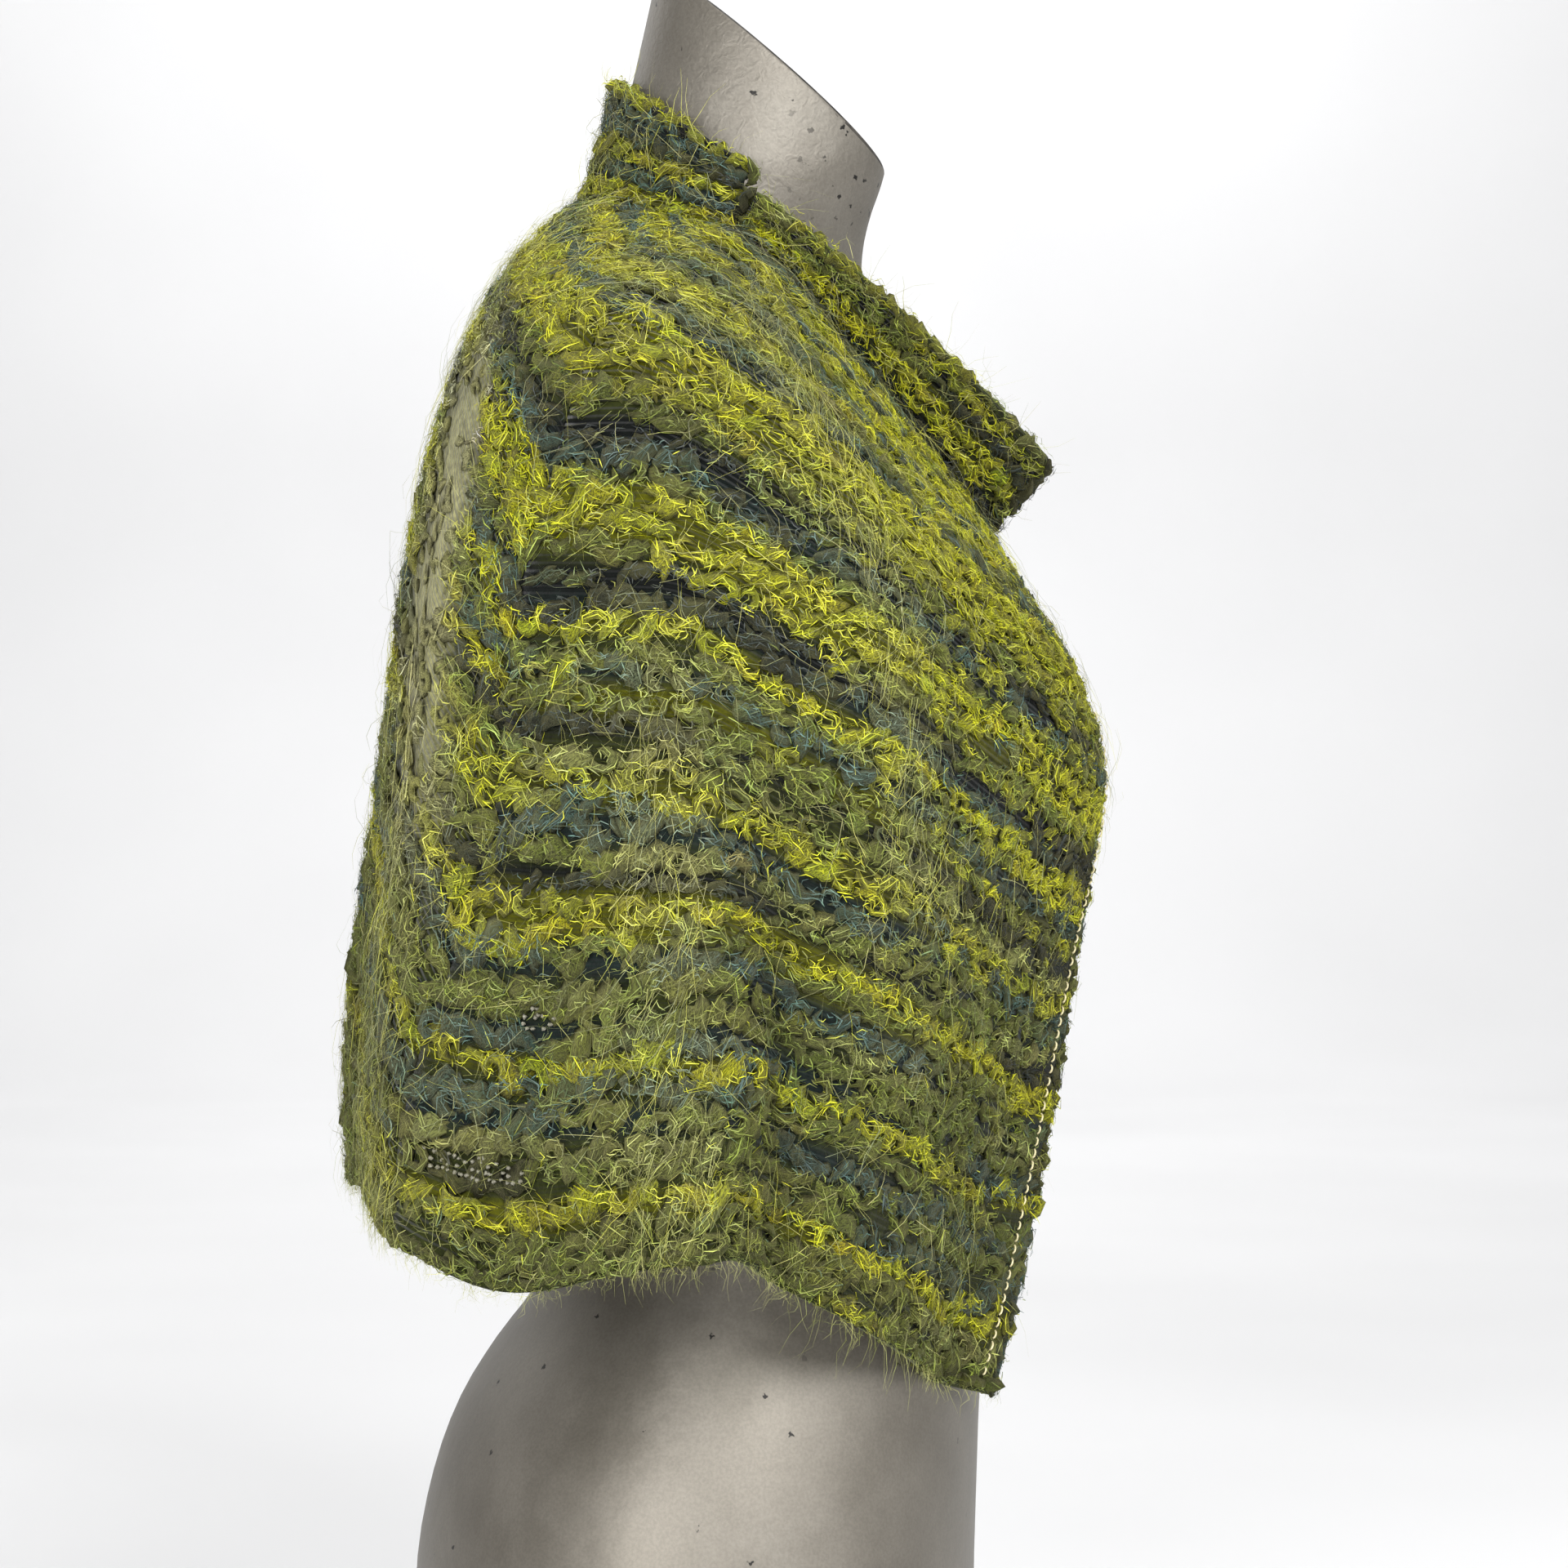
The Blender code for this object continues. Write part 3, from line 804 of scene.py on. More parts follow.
def hairs_piece(name, hairs):
    """Loose mohair fibres as thin tapered ribbons in one mesh."""
    single = (len(hairs.root), 1, 1)
    t = np.linspace(0, 1, HAIR_POINTS)[None, :, None]
    length, lift, wave, droop, width = (part[:, None, None] for part in hairs[3:8])
    lie, out = hairs.lie[:, None], hairs.out[:, None]
    side = np.cross(hairs.out, hairs.lie)[:, None]
    phase = rng.uniform(0, 6.3, single)
    turns = rng.uniform(3.0, 8.0, single)
    bend = np.clip(rng.normal(0, 0.3, single), -0.5, 0.5)
    path = hairs.root[:, None] + lie * length * t
    path = path + side * (wave * np.sin(phase + turns * t) + bend * length * t**2)
    path = path + out * (lift * np.sin(np.pi * np.minimum(t * 0.85, 1.0)) + 0.3 * lift * t)
    path = path - np.array([0.0, 0.0, 1.0]) * droop * t**2
    lean = rng.uniform(0, np.pi, single)
    flat = np.cos(lean) * side + np.sin(lean) * out
    half = flat * width / 2 * (1.0 - 0.75 * t)
    return ribbons_piece(name, np.stack([path - half, path + half], axis=2), hairs.colour, mohair)


def shell_piece(name, cloth, outer, inner, material, flat_sheen=0.0):
    """The cloth itself: a closed thin shell, painted dark outside as the shade between the loops, and
    ribbed inside.
    """
    rows, columns = cloth.rows, cloth.columns
    rib = RIB_HEIGHT * np.cos(2 * np.pi * cloth.course)[..., None]
    outside = cloth.middle + cloth.out * outer
    inside = cloth.middle - cloth.out * (inner - rib)
    points = np.concatenate([outside.reshape(-1, 3), inside.reshape(-1, 3)])
    face = grid_faces(rows, columns)
    half = (rows + 1) * (columns + 1)
    number = np.arange(half).reshape(rows + 1, columns + 1)
    rim = np.concatenate([number[0], number[1:, -1], number[-1, -2::-1], number[-2:0:-1, 0]])
    after = np.roll(rim, -1)
    edge = np.stack([rim, after, after + half, rim + half], axis=1)
    main = main_dyes(cloth.codes, cloth.course).reshape(-1, 3)
    flat_sheen = (flat_sheen + np.zeros_like(cloth.course)).reshape(-1, 1)
    # Painted shade: the outside is dark where it shows between the loops, and painted pale beige as a sheen
    # behind the right shoulder.
    outside_shade_and_sheen = 0.13 * main + flat_sheen * (0.9 * linear(SHEEN_BEIGE) - 0.13 * main)
    colour = np.concatenate([outside_shade_and_sheen, 0.6 * main])
    blank = np.zeros(2 * half)
    strand = np.column_stack([np.tile(cloth.course.ravel(), 2), blank, blank])
    piece = new_piece(name, points, [face, face[:, ::-1] + half, edge], material, colour, strand)
    mesh = bmesh.new()
    mesh.from_mesh(piece.data)
    bmesh.ops.recalc_face_normals(mesh, faces=mesh.faces)
    mesh.to_mesh(piece.data)
    mesh.free()
    return piece


# Materials


class Surface:
    """A node material, with short ways to add what its colour and relief are made of."""

    def __init__(self, name):
        self.material = bpy.data.materials.new(name)
        self.material.use_nodes = True
        self.tree = self.material.node_tree
        self.shader = self.tree.nodes["Principled BSDF"]
        self.place = self.add("TexCoord").outputs["Object"]

    def put(self, socket, value):
        if isinstance(value, bpy.types.NodeSocket):
            self.tree.links.new(value, socket)
        else:
            socket.default_value = value

    def fill(self, node, **values):
        for name, value in values.items():
            self.put(node.inputs[name.replace("_", " ")], value)

    def add(self, kind, **values):
        node = self.tree.nodes.new("ShaderNode" + kind)
        self.fill(node, **values)
        return node

    def attribute(self, name, output):
        node = self.add("Attribute")
        node.attribute_name = name
        return node.outputs[output]

    def noise(self, scale, detail, roughness=0.6, distortion=0.0, at=None):
        """Noise as a value and as a colour."""
        node = self.add("TexNoise", Scale=scale, Detail=detail, Roughness=roughness, Distortion=distortion)
        self.fill(node, Vector=at or self.place)
        return node.outputs["Fac"], node.outputs["Color"]

    def ramp(self, value, *stops):
        node = self.add("ValToRGB", Fac=value)
        elements = node.color_ramp.elements
        while len(elements) < len(stops):
            elements.new(0.5)
        for element, (position, colour) in zip(elements, stops):
            element.position = position
            element.color = (*colour, 1.0)
        return node.outputs["Color"]

    def mix(self, blend, factor, first, second):
        node = self.add("Mix")
        node.data_type = "RGBA"
        node.blend_type = blend
        for number, value in ((0, factor), (6, first), (7, second)):
            self.put(node.inputs[number], value)
        return node.outputs[2]

    def both(self, first, second):
        return self.mix("MULTIPLY", 1.0, first, second)

    def span(self, value, low, high):
        """Zero at low and one at high."""
        return self.add("MapRange", Value=value, From_Min=low, From_Max=high).outputs["Result"]

    def relief(self, height, strength, distance):
        bump = self.add("Bump", Height=height, Strength=strength, Distance=distance)
        self.fill(self.shader, Normal=bump.outputs["Normal"])

    def finish(self, colour, **values):
        self.fill(self.shader, Base_Color=colour, **values)
        return self.material


def yarn_material(name, pale_share):
    """Soft brushed yarn: fibres along each loop, and a pale haze where the pile is thick."""
    surface = Surface(name)
    fibre, fibre_relief = surface.noise(7.5, 4.0, 0.65, 0.5, surface.attribute("strand", "Vector"))
    streak = surface.ramp(fibre, (0.42, grey(0.1)), (0.5, (0.6, 0.6, 0.58)), (0.58, grey(1)))
    colour = surface.both(surface.attribute("yarn", "Color"), streak)
    haze, _ = surface.noise(34.0, 3.0)
    share = surface.ramp(haze, (0.45, grey(0)), (0.75, grey(pale_share)))
    colour = surface.mix("MIX", share, colour, opaque(HAZE))
    _, pile = surface.noise(1400.0, 2.0)
    surface.relief(surface.mix("ADD", 0.35, fibre_relief, pile), 0.9, 0.0016)
    sheen = {"Sheen_Weight": 0.25, "Sheen_Roughness": 0.45, "Sheen_Tint": opaque(SHEEN)}
    return surface.finish(colour, Roughness=0.88, Specular_IOR_Level=0.2, **sheen)


def ground_material(name):
    """The knit behind the loops, ribbed by its courses."""
    surface = Surface(name)
    speck, speck_relief = surface.noise(260.0, 4.0, 0.7)
    tone = surface.ramp(speck, (0.3, grey(0.3)), (0.7, grey(1)))
    colour = surface.both(surface.attribute("yarn", "Color"), tone)
    rib = surface.add("TexWave", Scale=1.0, Distortion=1.5, Detail=2.0)
    surface.fill(rib, Vector=surface.attribute("strand", "Vector"))
    surface.relief(surface.mix("ADD", 0.8, rib.outputs["Color"], speck_relief), 0.8, 0.0015)
    return surface.finish(colour, Roughness=0.95, Specular_IOR_Level=0.1, Sheen_Weight=0.1)


def hair_material():
    surface = Surface("Mohair")
    vary, _ = surface.noise(420.0, 2.0)
    tone = surface.ramp(vary, (0.3, (0.68, 0.68, 0.64)), (0.7, grey(1)))
    colour = surface.both(surface.attribute("yarn", "Color"), tone)
    return surface.finish(colour, Roughness=0.5, Specular_IOR_Level=0.45)


def mottled(name, scale, detail, *stops, **values):
    """A plain material of two tones."""
    surface = Surface(name)
    value, _ = surface.noise(scale, detail)
    return surface.finish(surface.ramp(value, *stops), **values)


def thread_material():
    tones = ((0.3, linear(THREAD_SHADE)), (0.7, linear(CREAM)))
    return mottled("Cream thread", 1600.0, 2.0, *tones, Roughness=0.6)


def rim_material():
    """A dark line round the rounded edge of the cut."""
    tones = ((0.4, linear(RIM_DARK)), (0.7, linear(RIM_PALE)))
    return mottled("Dark rim", 120.0, 3.0, *tones, Roughness=0.55, Metallic=0.3)


def stage_material():
    return mottled("Pale sweep", 1.5, 2.0, (0.3, STAGE_DARK), (0.7, STAGE_PALE), Roughness=0.9)


def paint_material():
    """Silver paint on a hull: brushed on a little unevenly, with small chips thickest at the throat."""
    surface = Surface("Silver paint")
    cloud, _ = surface.noise(9.0, 5.0, 0.62)
    grain, _ = surface.noise(900.0, 2.0)
    _, dent = surface.noise(60.0, 3.0, 0.5)
    _, stroke = surface.noise(230.0, 2.0, 0.5, 1.2)
    _, wobble = surface.noise(500.0, 1.0)
    tone = surface.ramp(cloud, *((position, linear(silver)) for position, silver in SILVERS))
    fleck = surface.ramp(grain, (0.35, grey(0.82)), (0.65, grey(1)))
    colour = surface.mix("MULTIPLY", 0.8, tone, fleck)
    cells = surface.add("TexVoronoi", Scale=210.0, Randomness=1.0)
    surface.fill(cells, Vector=surface.mix("ADD", 0.0035, surface.place, wobble))
    near = surface.ramp(cells.outputs["Distance"], (0.2, grey(1)), (0.27, grey(0)))
    chosen = surface.add("SeparateColor", Color=cells.outputs["Color"]).outputs
    axes = surface.add("SeparateXYZ", Vector=surface.place).outputs
    high = surface.span(axes["Z"], 0.6, 0.62)
    forward = surface.span(axes["Y"], -0.015, -0.045)
    often = surface.span(chosen["Red"], 0.52, 0.56)
    seldom = surface.span(chosen["Green"], 0.972, 0.98)
    throat = surface.both(surface.both(high, forward), often)
    chip = surface.both(surface.mix("LIGHTEN", 1.0, throat, seldom), near)
    colour = surface.mix("MIX", chip, colour, opaque(CHIP))
    rough = surface.ramp(cloud, (0.3, grey(0.42)), (0.7, grey(0.58)))
    surface.relief(surface.mix("ADD", 0.8, dent, surface.both(stroke, high)), 0.5, 0.0012)
    return surface.finish(colour, Roughness=rough, Metallic=0.55)


body_yarn = yarn_material("Body yarn", 0.17)
collar_yarn = yarn_material("Collar yarn", 0.15)
body_ground = ground_material("Body ground")
collar_ground = ground_material("Collar ground")
mohair = hair_material()
thread = thread_material()


def finished(piece, slot, *nodes):
    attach(piece, "root")
    if nodes:
        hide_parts(*nodes)


def sewn(shell, others, slot, node):
    """A shell and what lies on it, attached to the same body as the form, with the solid it stands for
    hidden.
    """
    finished(shell, slot, node)
    for piece in others:
        finished(piece, slot)


# The dress form


def form_section(place):
    """Points round the form at a place between its levels."""
    level = Level(*between_rows(FORM_LEVELS, place))
    turn = np.linspace(0.0, 2 * np.pi, FORM_SEGMENTS, endpoint=False)
    behind = np.sin(turn) > 0
    power = 2.0 / np.where(behind, level.back_n, level.front_n)
    depth = np.where(behind, level.back_y - level.side_y, level.side_y - level.front_y)
    across = level.half_width * np.sign(np.cos(turn)) * np.abs(np.cos(turn)) ** power
    along = depth * np.sign(np.sin(turn)) * np.abs(np.sin(turn)) ** power
    height = np.full(FORM_SEGMENTS, level.z)
    return np.stack([across, level.side_y + along, height], axis=1) * MM


def at_steps(points, step):
    return [np.interp(step, np.arange(len(points)), points[:, k]) for k in range(3)]


def neck_rows():
    """Rows of points up the neck, from its foot to the slanting cut."""
    last = len(FORM_LEVELS) - 1
    trial = np.array([form_section(place) for place in np.linspace(NECK_LEVEL, last, NECK_SAMPLES)])
    above = trial[:, :, 2] - NECK_CUT_Z - NECK_CUT_RISE * (trial[:, :, 1] - NECK_CUT_Y)
    steps = np.arange(len(trial))
    reach = np.array([np.interp(0.0, above[:, i], steps) for i in range(FORM_SEGMENTS)])
    rows = []
    for share in np.linspace(0, 1, NECK_ROWS + 1)[1:]:
        row = [at_steps(trial[:, i], share * reach[i]) for i in range(FORM_SEGMENTS)]
        rows.append(np.array(row))
    return rows


def form_piece():
    """The smooth hull, with small round edges at its base and round the cut neck."""
    mesh = bmesh.new()
    sections = [form_section(place) for place in np.linspace(0, NECK_LEVEL, NECK_LEVEL * FORM_STEPS + 1)]
    rows = []
    for points in sections + neck_rows():
        rows.append([mesh.verts.new(Vector(point)) for point in points])
    for low, high in zip(rows, rows[1:]):
        for i in range(FORM_SEGMENTS):
            j = (i + 1) % FORM_SEGMENTS
            mesh.faces.new((low[i], low[j], high[j], high[i]))
    ends = [mesh.faces.new(rows[0]), mesh.faces.new(rows[-1])]
    bmesh.ops.recalc_face_normals(mesh, faces=mesh.faces)
    cut = Vector((0.0, -NECK_CUT_RISE, 1.0)).normalized()
    edges = [edge for face in ends for edge in face.edges]
    rounded = bmesh.ops.bevel(mesh, geom=edges, offset=FORM_EDGE, segments=3, affect="EDGES", profile=0.5)
    mesh.normal_update()
    for face in rounded["faces"]:
        if face.calc_center_median().z > NECK_CUT_Z / 2 and face.normal.dot(cut) > RIM_FACING:
            face.material_index = 1
    data = bpy.data.meshes.new("form")
    mesh.to_mesh(data)
    mesh.free()
    data.shade_smooth()
    data.set_sharp_from_angle(angle=np.radians(35))
    data.materials.append(paint_material())
    data.materials.append(rim_material())
    form = bpy.data.objects.new("form", data)
    bpy.context.scene.collection.objects.link(form)
    return form


# The cloth


course_share = course_places()


def course_from_share(share):
    count = len(COURSES)
    return np.interp(share, course_share[:count], np.arange(count) + 0.5)


def back_rise(cloth, share):
    """How far up the back, as a share, a course has risen at each place across, from the seams in."""
    across = np.linspace(0, 1, cloth.columns + 1)
    middle = cloth.middle[cloth.rows // 3]
    length = lengths(middle)
    inward = np.minimum(length, length[-1] - length)
    half = length[-1] / 2
    rise = BACK_SLOPE * (inward - inward**2 / (2 * half))
    tall = lengths(cloth.middle[:, 0])[-1]
    keep = 1.0 - 0.65 * smooth_step(0.45, 1.05, share)
    return across, rise / tall * keep


def back_courses(cloth):
    """The course at each point of the back's grid."""
    wanted = np.linspace(0, 1, cloth.rows + 1)
    trial = np.linspace(0, 1.4, 281)
    drop = np.array([one - back_rise(cloth, one)[1] for one in trial])
    columns = [np.interp(wanted, drop[:, i], trial) for i in range(cloth.columns + 1)]
    return course_from_share(np.stack(columns, axis=1))


def paleness(angle, place):
    """How pale the pile is painted as a highlight, and how combed and flat it is, along the fold ridge, the
    side, the back corner and the shoulder, at angles round the body and places from neck to hem.
    """
    ridge = bell(angle, fold_angle(RIGHT_FOLDS[0], place), RIDGE_WIDTH) * window(place, *RIDGE_RINGS)
    side = bell(angle, *SIDE_TURN) * smooth_step(*SIDE_RINGS, place)
    corner = bell(angle, *CORNER_TURN) * smooth_step(*CORNER_RINGS, place)
    shoulder = bell(place, *SHOULDER_RINGS) * bell(angle, *SHOULDER_TURN)
    return np.clip(0.9 * ridge + 0.9 * side + 0.6 * corner + 0.6 * shoulder, 0, 1)


def valley(angle, place):
    """How deep in the main hanging fold a place is."""
    return bell(angle, *VALLEY_TURN) * smooth_step(*VALLEY_RINGS, place)


def flat_sheen_share(angle, place):
    """The stretch behind the right shoulder where the pile is flatter and sparser, painted pale beige as a
    sheen.
    """
    waver = 1.5 * np.sin(2.3 * place) + np.sin(5.1 * place + 1)
    front_side = smooth_step(*FLAT_SHEEN_FRONT, angle + 0.4 * waver)
    back_side = 1 - smooth_step(*FLAT_SHEEN_BACK, angle + waver)
    return FLAT_SHEEN_SHARE * front_side * back_side * window(place, *FLAT_SHEEN_RINGS)


def flat_sheen_border(angle, place):
    """How near a place is to the front border of the flat stretch painted with sheen."""
    return bell(angle, BORDER_ANGLE, BORDER_WIDTH) * window(place, *BORDER_RINGS)


def net_share(angle, place):
    """How far inside a spot of wear a place is."""
    off = [
        ((angle - spot.angle) / spot.breadth) ** 2 + ((place - spot.place) / spot.height) ** 2
        for spot in NET_SPOTS
    ]
    return 1 - smooth_step(0.7, 1.5, np.min(off, axis=0))


def net_nubs(cloth):
    """The pale ground that shows as dots through the open net of the spots of wear."""
    parts = []
    for spot in NET_SPOTS:
        across = np.arange(-spot.breadth, spot.breadth, NET_STEP_ANGLE)
        down = np.arange(-spot.height, spot.height, NET_STEP_PLACE)
        angle, place = (part.ravel() for part in np.meshgrid(across, down))
        angle = angle + rng.uniform(-0.3, 0.3, len(angle)) * NET_STEP_ANGLE
        place = place + rng.uniform(-0.3, 0.3, len(place)) * NET_STEP_PLACE
        inside = (angle / spot.breadth) ** 2 + (place / spot.height) ** 2 < 1
        keep = inside & (rng.random(len(angle)) < 0.72)
        angle, v = spot.angle + angle[keep], (spot.place + place[keep]) / LAST_RING
        row = cloth.angle[np.rint(v * cloth.rows).astype(int)]
        share = np.linspace(0, 1, cloth.columns + 1)
        u = np.array([np.interp(one, turns, share) for one, turns in zip(angle, row)])
        at, out, along, _ = cloth.axes_at(u, v)
        count = len(u)
        none = np.zeros(count)
        length = rng.uniform(*NET_LENGTH, count)
        width = rng.uniform(*NET_WIDTH, count)
        colour = np.tile(1.6 * linear(NET_GROUND), (count, 1))
        lifted = at + out * NET_LIFT
        rise = none + NET_RISE
        parts.append(Loops(lifted, along, out, length, width, rise, none, none, none, none, colour, u, v))
    return joined(*parts)


def body_loops(cloth, back):
    """The loops of every course of a body panel. The back's courses rise, so it shows some more of them."""
    parts = []
    u = np.linspace(0, 1, COURSE_SAMPLES)
    count = len(COURSES)
    gaps = np.diff(course_share)
    for index in range(count + SPARE_COURSES if back else count):
        share = course_share[min(index, count - 1)] + max(index - count + 1, 0) * gaps[count - 2]
        step = gaps[min(index, count - 2)]
        v = np.full_like(u, share)
        if back:
            v = share - np.interp(u, *back_rise(cloth, share))
        v = v + (drift(u * 0.45, 0.03) - 0.5) * step * 0.9
        inside = (v > 0.006) & (v < 0.994)
        if inside.sum() < 12:
            continue
        pitch = cloth.pitch(u, v, step, *BODY_PITCH)
        if index in OPEN_COURSES and not back:
            pitch = pitch * (1 - 0.4 * smooth_step(0.3, 0.6, u))
        for run in np.split(np.arange(len(u)), np.where(np.diff(inside.astype(int)))[0] + 1):
            if inside[run[0]] and len(run) >= 8:
                parts.append(course_loops(cloth, u[run], v[run], pitch, index, LOOP_LIFT))
    return joined(*(part for part in parts if part is not None))


def lit_shaded_and_flattened(cloth, loops):
    """The loops, painted paler as highlight and sheen where the pile is combed or flattened, and flatter
    there, and painted darker as shade in the fold, the yoke and low down.
    """
    angle = cloth.at(cloth.angle, loops.u, loops.v)
    place = loops.v * LAST_RING
    pale = paleness(angle, place)
    flat_sheen = flat_sheen_share(angle, place)
    # Painted highlight: the loops turn paler along the fold ridge, the side, the back corner and the
    # shoulder.
    colour = loops.colour + PAINTED_HIGHLIGHT_SHARE * pale[:, None] * (linear(PALE) - loops.colour)
    # Painted sheen: the loops turn pale beige in the flat stretch behind the right shoulder.
    colour = colour + flat_sheen[:, None] * (linear(SHEEN_BEIGE) * 1.5 - colour)
    # Painted shade in the main hanging fold.
    colour = colour * (1 - VALLEY_SHADE * valley(angle, place))[:, None]
    # Painted light: towards the front edge the loops get more contrast and are painted lighter on the chest
    # and darker near the hem.
    facing = 1 - smooth_step(*FACING_TURN, angle)
    light = colour.mean(axis=1) / 0.2
    painted_light_gain = 1 + 0.14 * facing * (1 - 1.6 * smooth_step(*FACING_RINGS, place))
    colour = colour * (light ** (0.3 * facing) * painted_light_gain)[:, None]
    # Painted shade on the side below the shoulder.
    yoke = bell(place, *YOKE_RINGS) * bell(angle, *YOKE_TURN)
    colour = colour * (1 - YOKE_SHADE * yoke)[:, None]
    chest = rng.random(len(angle)) < CHEST_SHARE * facing * bell(place, *CHEST_RINGS)
    colour = np.where(chest[:, None], 0.3 * colour + 0.7 * linear(DYES["l"]), colour)
    net = net_share(angle, place) * (loops.at[:, 0] < 0)
    colour = colour * (1 - NET_SHADE * net)[:, None]
    nub = rng.random(len(angle)) < NUB_SHARE * flat_sheen_border(angle, place)
    colour = np.where(nub[:, None], 0.8 * linear(CREAM), colour)
    # Painted shade low down on the side and back.
    low = smooth_step(*LOW_RINGS, place) * smooth_step(*LOW_TURN, angle)
    colour = colour * (1 - LOW_SHADE * low)[:, None]
    small = (1 - 0.3 * flat_sheen) * np.where(nub, 0.5, 1.0)
    changed = loops._replace(
        colour=colour,
        length=loops.length * small,
        width=loops.width * small,
        rise=loops.rise * np.clip(1 - 0.25 * pale - 0.8 * flat_sheen - NET_SHADE * net, 0.12, 1),
    )
    return picked(changed, rng.random(len(angle)) > FLAT_SHEEN_LOSS * flat_sheen)


def outside_flat_sheen(cloth, loops):
    """The loops outside the flat stretches painted with sheen."""
    angle = cloth.at(cloth.angle, loops.u, loops.v)
    return picked(loops, flat_sheen_share(angle, loops.v * LAST_RING) < rng.uniform(0.15, 0.6, len(angle)))


def pressed(cloth, loops):
    """The loops, flattened along the sewn front edge."""
    edge = cloth.at(cloth.middle, 0 * loops.u, loops.v)
    inward = np.linalg.norm(loops.at - edge, axis=1)
    press = 1 - smooth_step(*PRESSED, inward)
    return loops._replace(
        at=loops.at - loops.out * (0.0008 * press)[:, None],
        rise=loops.rise * (1 - 0.6 * press),
    )


def edge_loops(cloth, line_u, line_v, lead, code, rim):
    """A row of loops over an edge of the cloth, leading off in the direction given."""
    place, here_u, here_v, along = spread_along(cloth, line_u, line_v, LOOP_SPACING * rim.size, 0.2)
    count = len(place)
    out = unit(cloth.at(lead, here_u, here_v))
    return Loops(
        cloth.at(cloth.middle, here_u, here_v) - out * rim.inset,
        along,
        out,
        LOOP_SPACING * rim.size * rng.uniform(1.15, 1.5, count),
        EDGE_LOOP_WIDTH * rim.size * rng.uniform(0.85, 1.15, count),
        EDGE_LOOP_RISE * rim.size * rng.uniform(0.75, 1.2, count),
        0.0012 * rng.normal(0.3, 1.0, count),
        0.0006 * rng.normal(0.0, 1.0, count),
        np.zeros(count),
        rng.uniform(0, 2 * np.pi, count),
        dye_colours(code, place),
        here_u,
        here_v,
    )


def hair_sizes(kind, count):
    """Each hair's wave, droop and width."""
    return [rng.uniform(*limits, count) for limits in (kind.wave, kind.droop, kind.width)]


def body_hairs(cloth, count, back):
    """Hairs lying over the cloth, thickest where the pile is painted pale as a highlight."""
    u = rng.random(count * 3)
    v = rng.random(count * 3)
    angle = cloth.at(cloth.angle, u, v)
    place = v * LAST_RING
    pale = paleness(angle, place)
    flat_sheen = flat_sheen_share(angle, place)
    chance = (0.25 + 0.9 * pale) * (1 - 0.8 * valley(angle, place)) * (1 - flat_sheen)
    if not back:
        chance = chance * smooth_step(0.01, 0.08, u) * (0.5 + 0.5 * smooth_step(-50, -25, angle))
        chance = chance * (1 - net_share(angle, place))
    keep = np.where(rng.random(count * 3) < chance / chance.mean() / 3.0)[0][:count]
    u, v, angle, place, pale, flat_sheen = (part[keep] for part in (u, v, angle, place, pale, flat_sheen))
    number = len(u)
    at, out, along, down = cloth.axes_at(u, v)
    turn = rng.uniform(0, 2 * np.pi, number)
    combed = np.clip(pale * 1.1, 0, 0.9)
    lie = unit(
        (np.cos(turn) * (1 - combed))[:, None] * along
        + (np.sin(turn) * (1 - combed) + combed * rng.choice([1.0, 1.0, -0.6], number))[:, None] * down
    )
    colour = main_dyes(COURSES, cloth.at(cloth.course, u, v))
    mixed = rng.uniform(0.25, 0.85, number)[:, None]
    colour = colour + mixed * (linear(PALE) - colour)
    # Painted sheen: the hairs turn pale beige in the flat stretch behind the right shoulder.
    colour = colour + flat_sheen[:, None] * (linear(SHEEN_BEIGE) - colour)
    colour = colour * rng.uniform(0.7, 1.15, (number, 1))
    length = np.minimum(rng.gamma(4.0, 0.0045, number), 0.005 + 0.4 * (1 - v))
    standing = rng.random(number) < STANDING_SHARE
    lift = np.where(standing, rng.uniform(*STANDING_LIFT, number), rng.uniform(*LYING_LIFT, number))
    lift = lift * (1 - 0.8 * flat_sheen)
    return Hairs(
        at + out * rng.uniform(*BODY_HAIR.root, number)[:, None],
        lie,
        out,
        np.clip(length, *BODY_HAIR.length),
        lift,
        *hair_sizes(BODY_HAIR, number),
        colour,
    )


def hem_hairs(cloth, count):
    """Short hairs that hang off the hem, longest in a tuft at the front of the side."""
    u = rng.random(count)
    v = np.full(count, 1.0)
    at, out, along, down = cloth.axes_at(u, v)
    angle = cloth.at(cloth.angle, u, v)
    tuft = bell(angle, *TUFT_TURN)
    lie = unit(down + rng.normal(0, 0.8, (count, 1)) * along + rng.normal(0.05, 0.2, (count, 1)) * out)
    green = linear(DYES["m"])
    colour = green + rng.uniform(0.2, 0.9, (count, 1)) * (linear(PALE) - green)
    length = rng.gamma(2.5, 0.0016, count) * (1 + 2.2 * tuft)
    return Hairs(
        at + out * rng.uniform(*HEM_HAIR.root, count)[:, None],
        lie,
        out,
        np.clip(length, *HEM_HAIR.length),
        rng.uniform(*HEM_LIFT, count),
        *hair_sizes(HEM_HAIR, count),
        colour,
    )


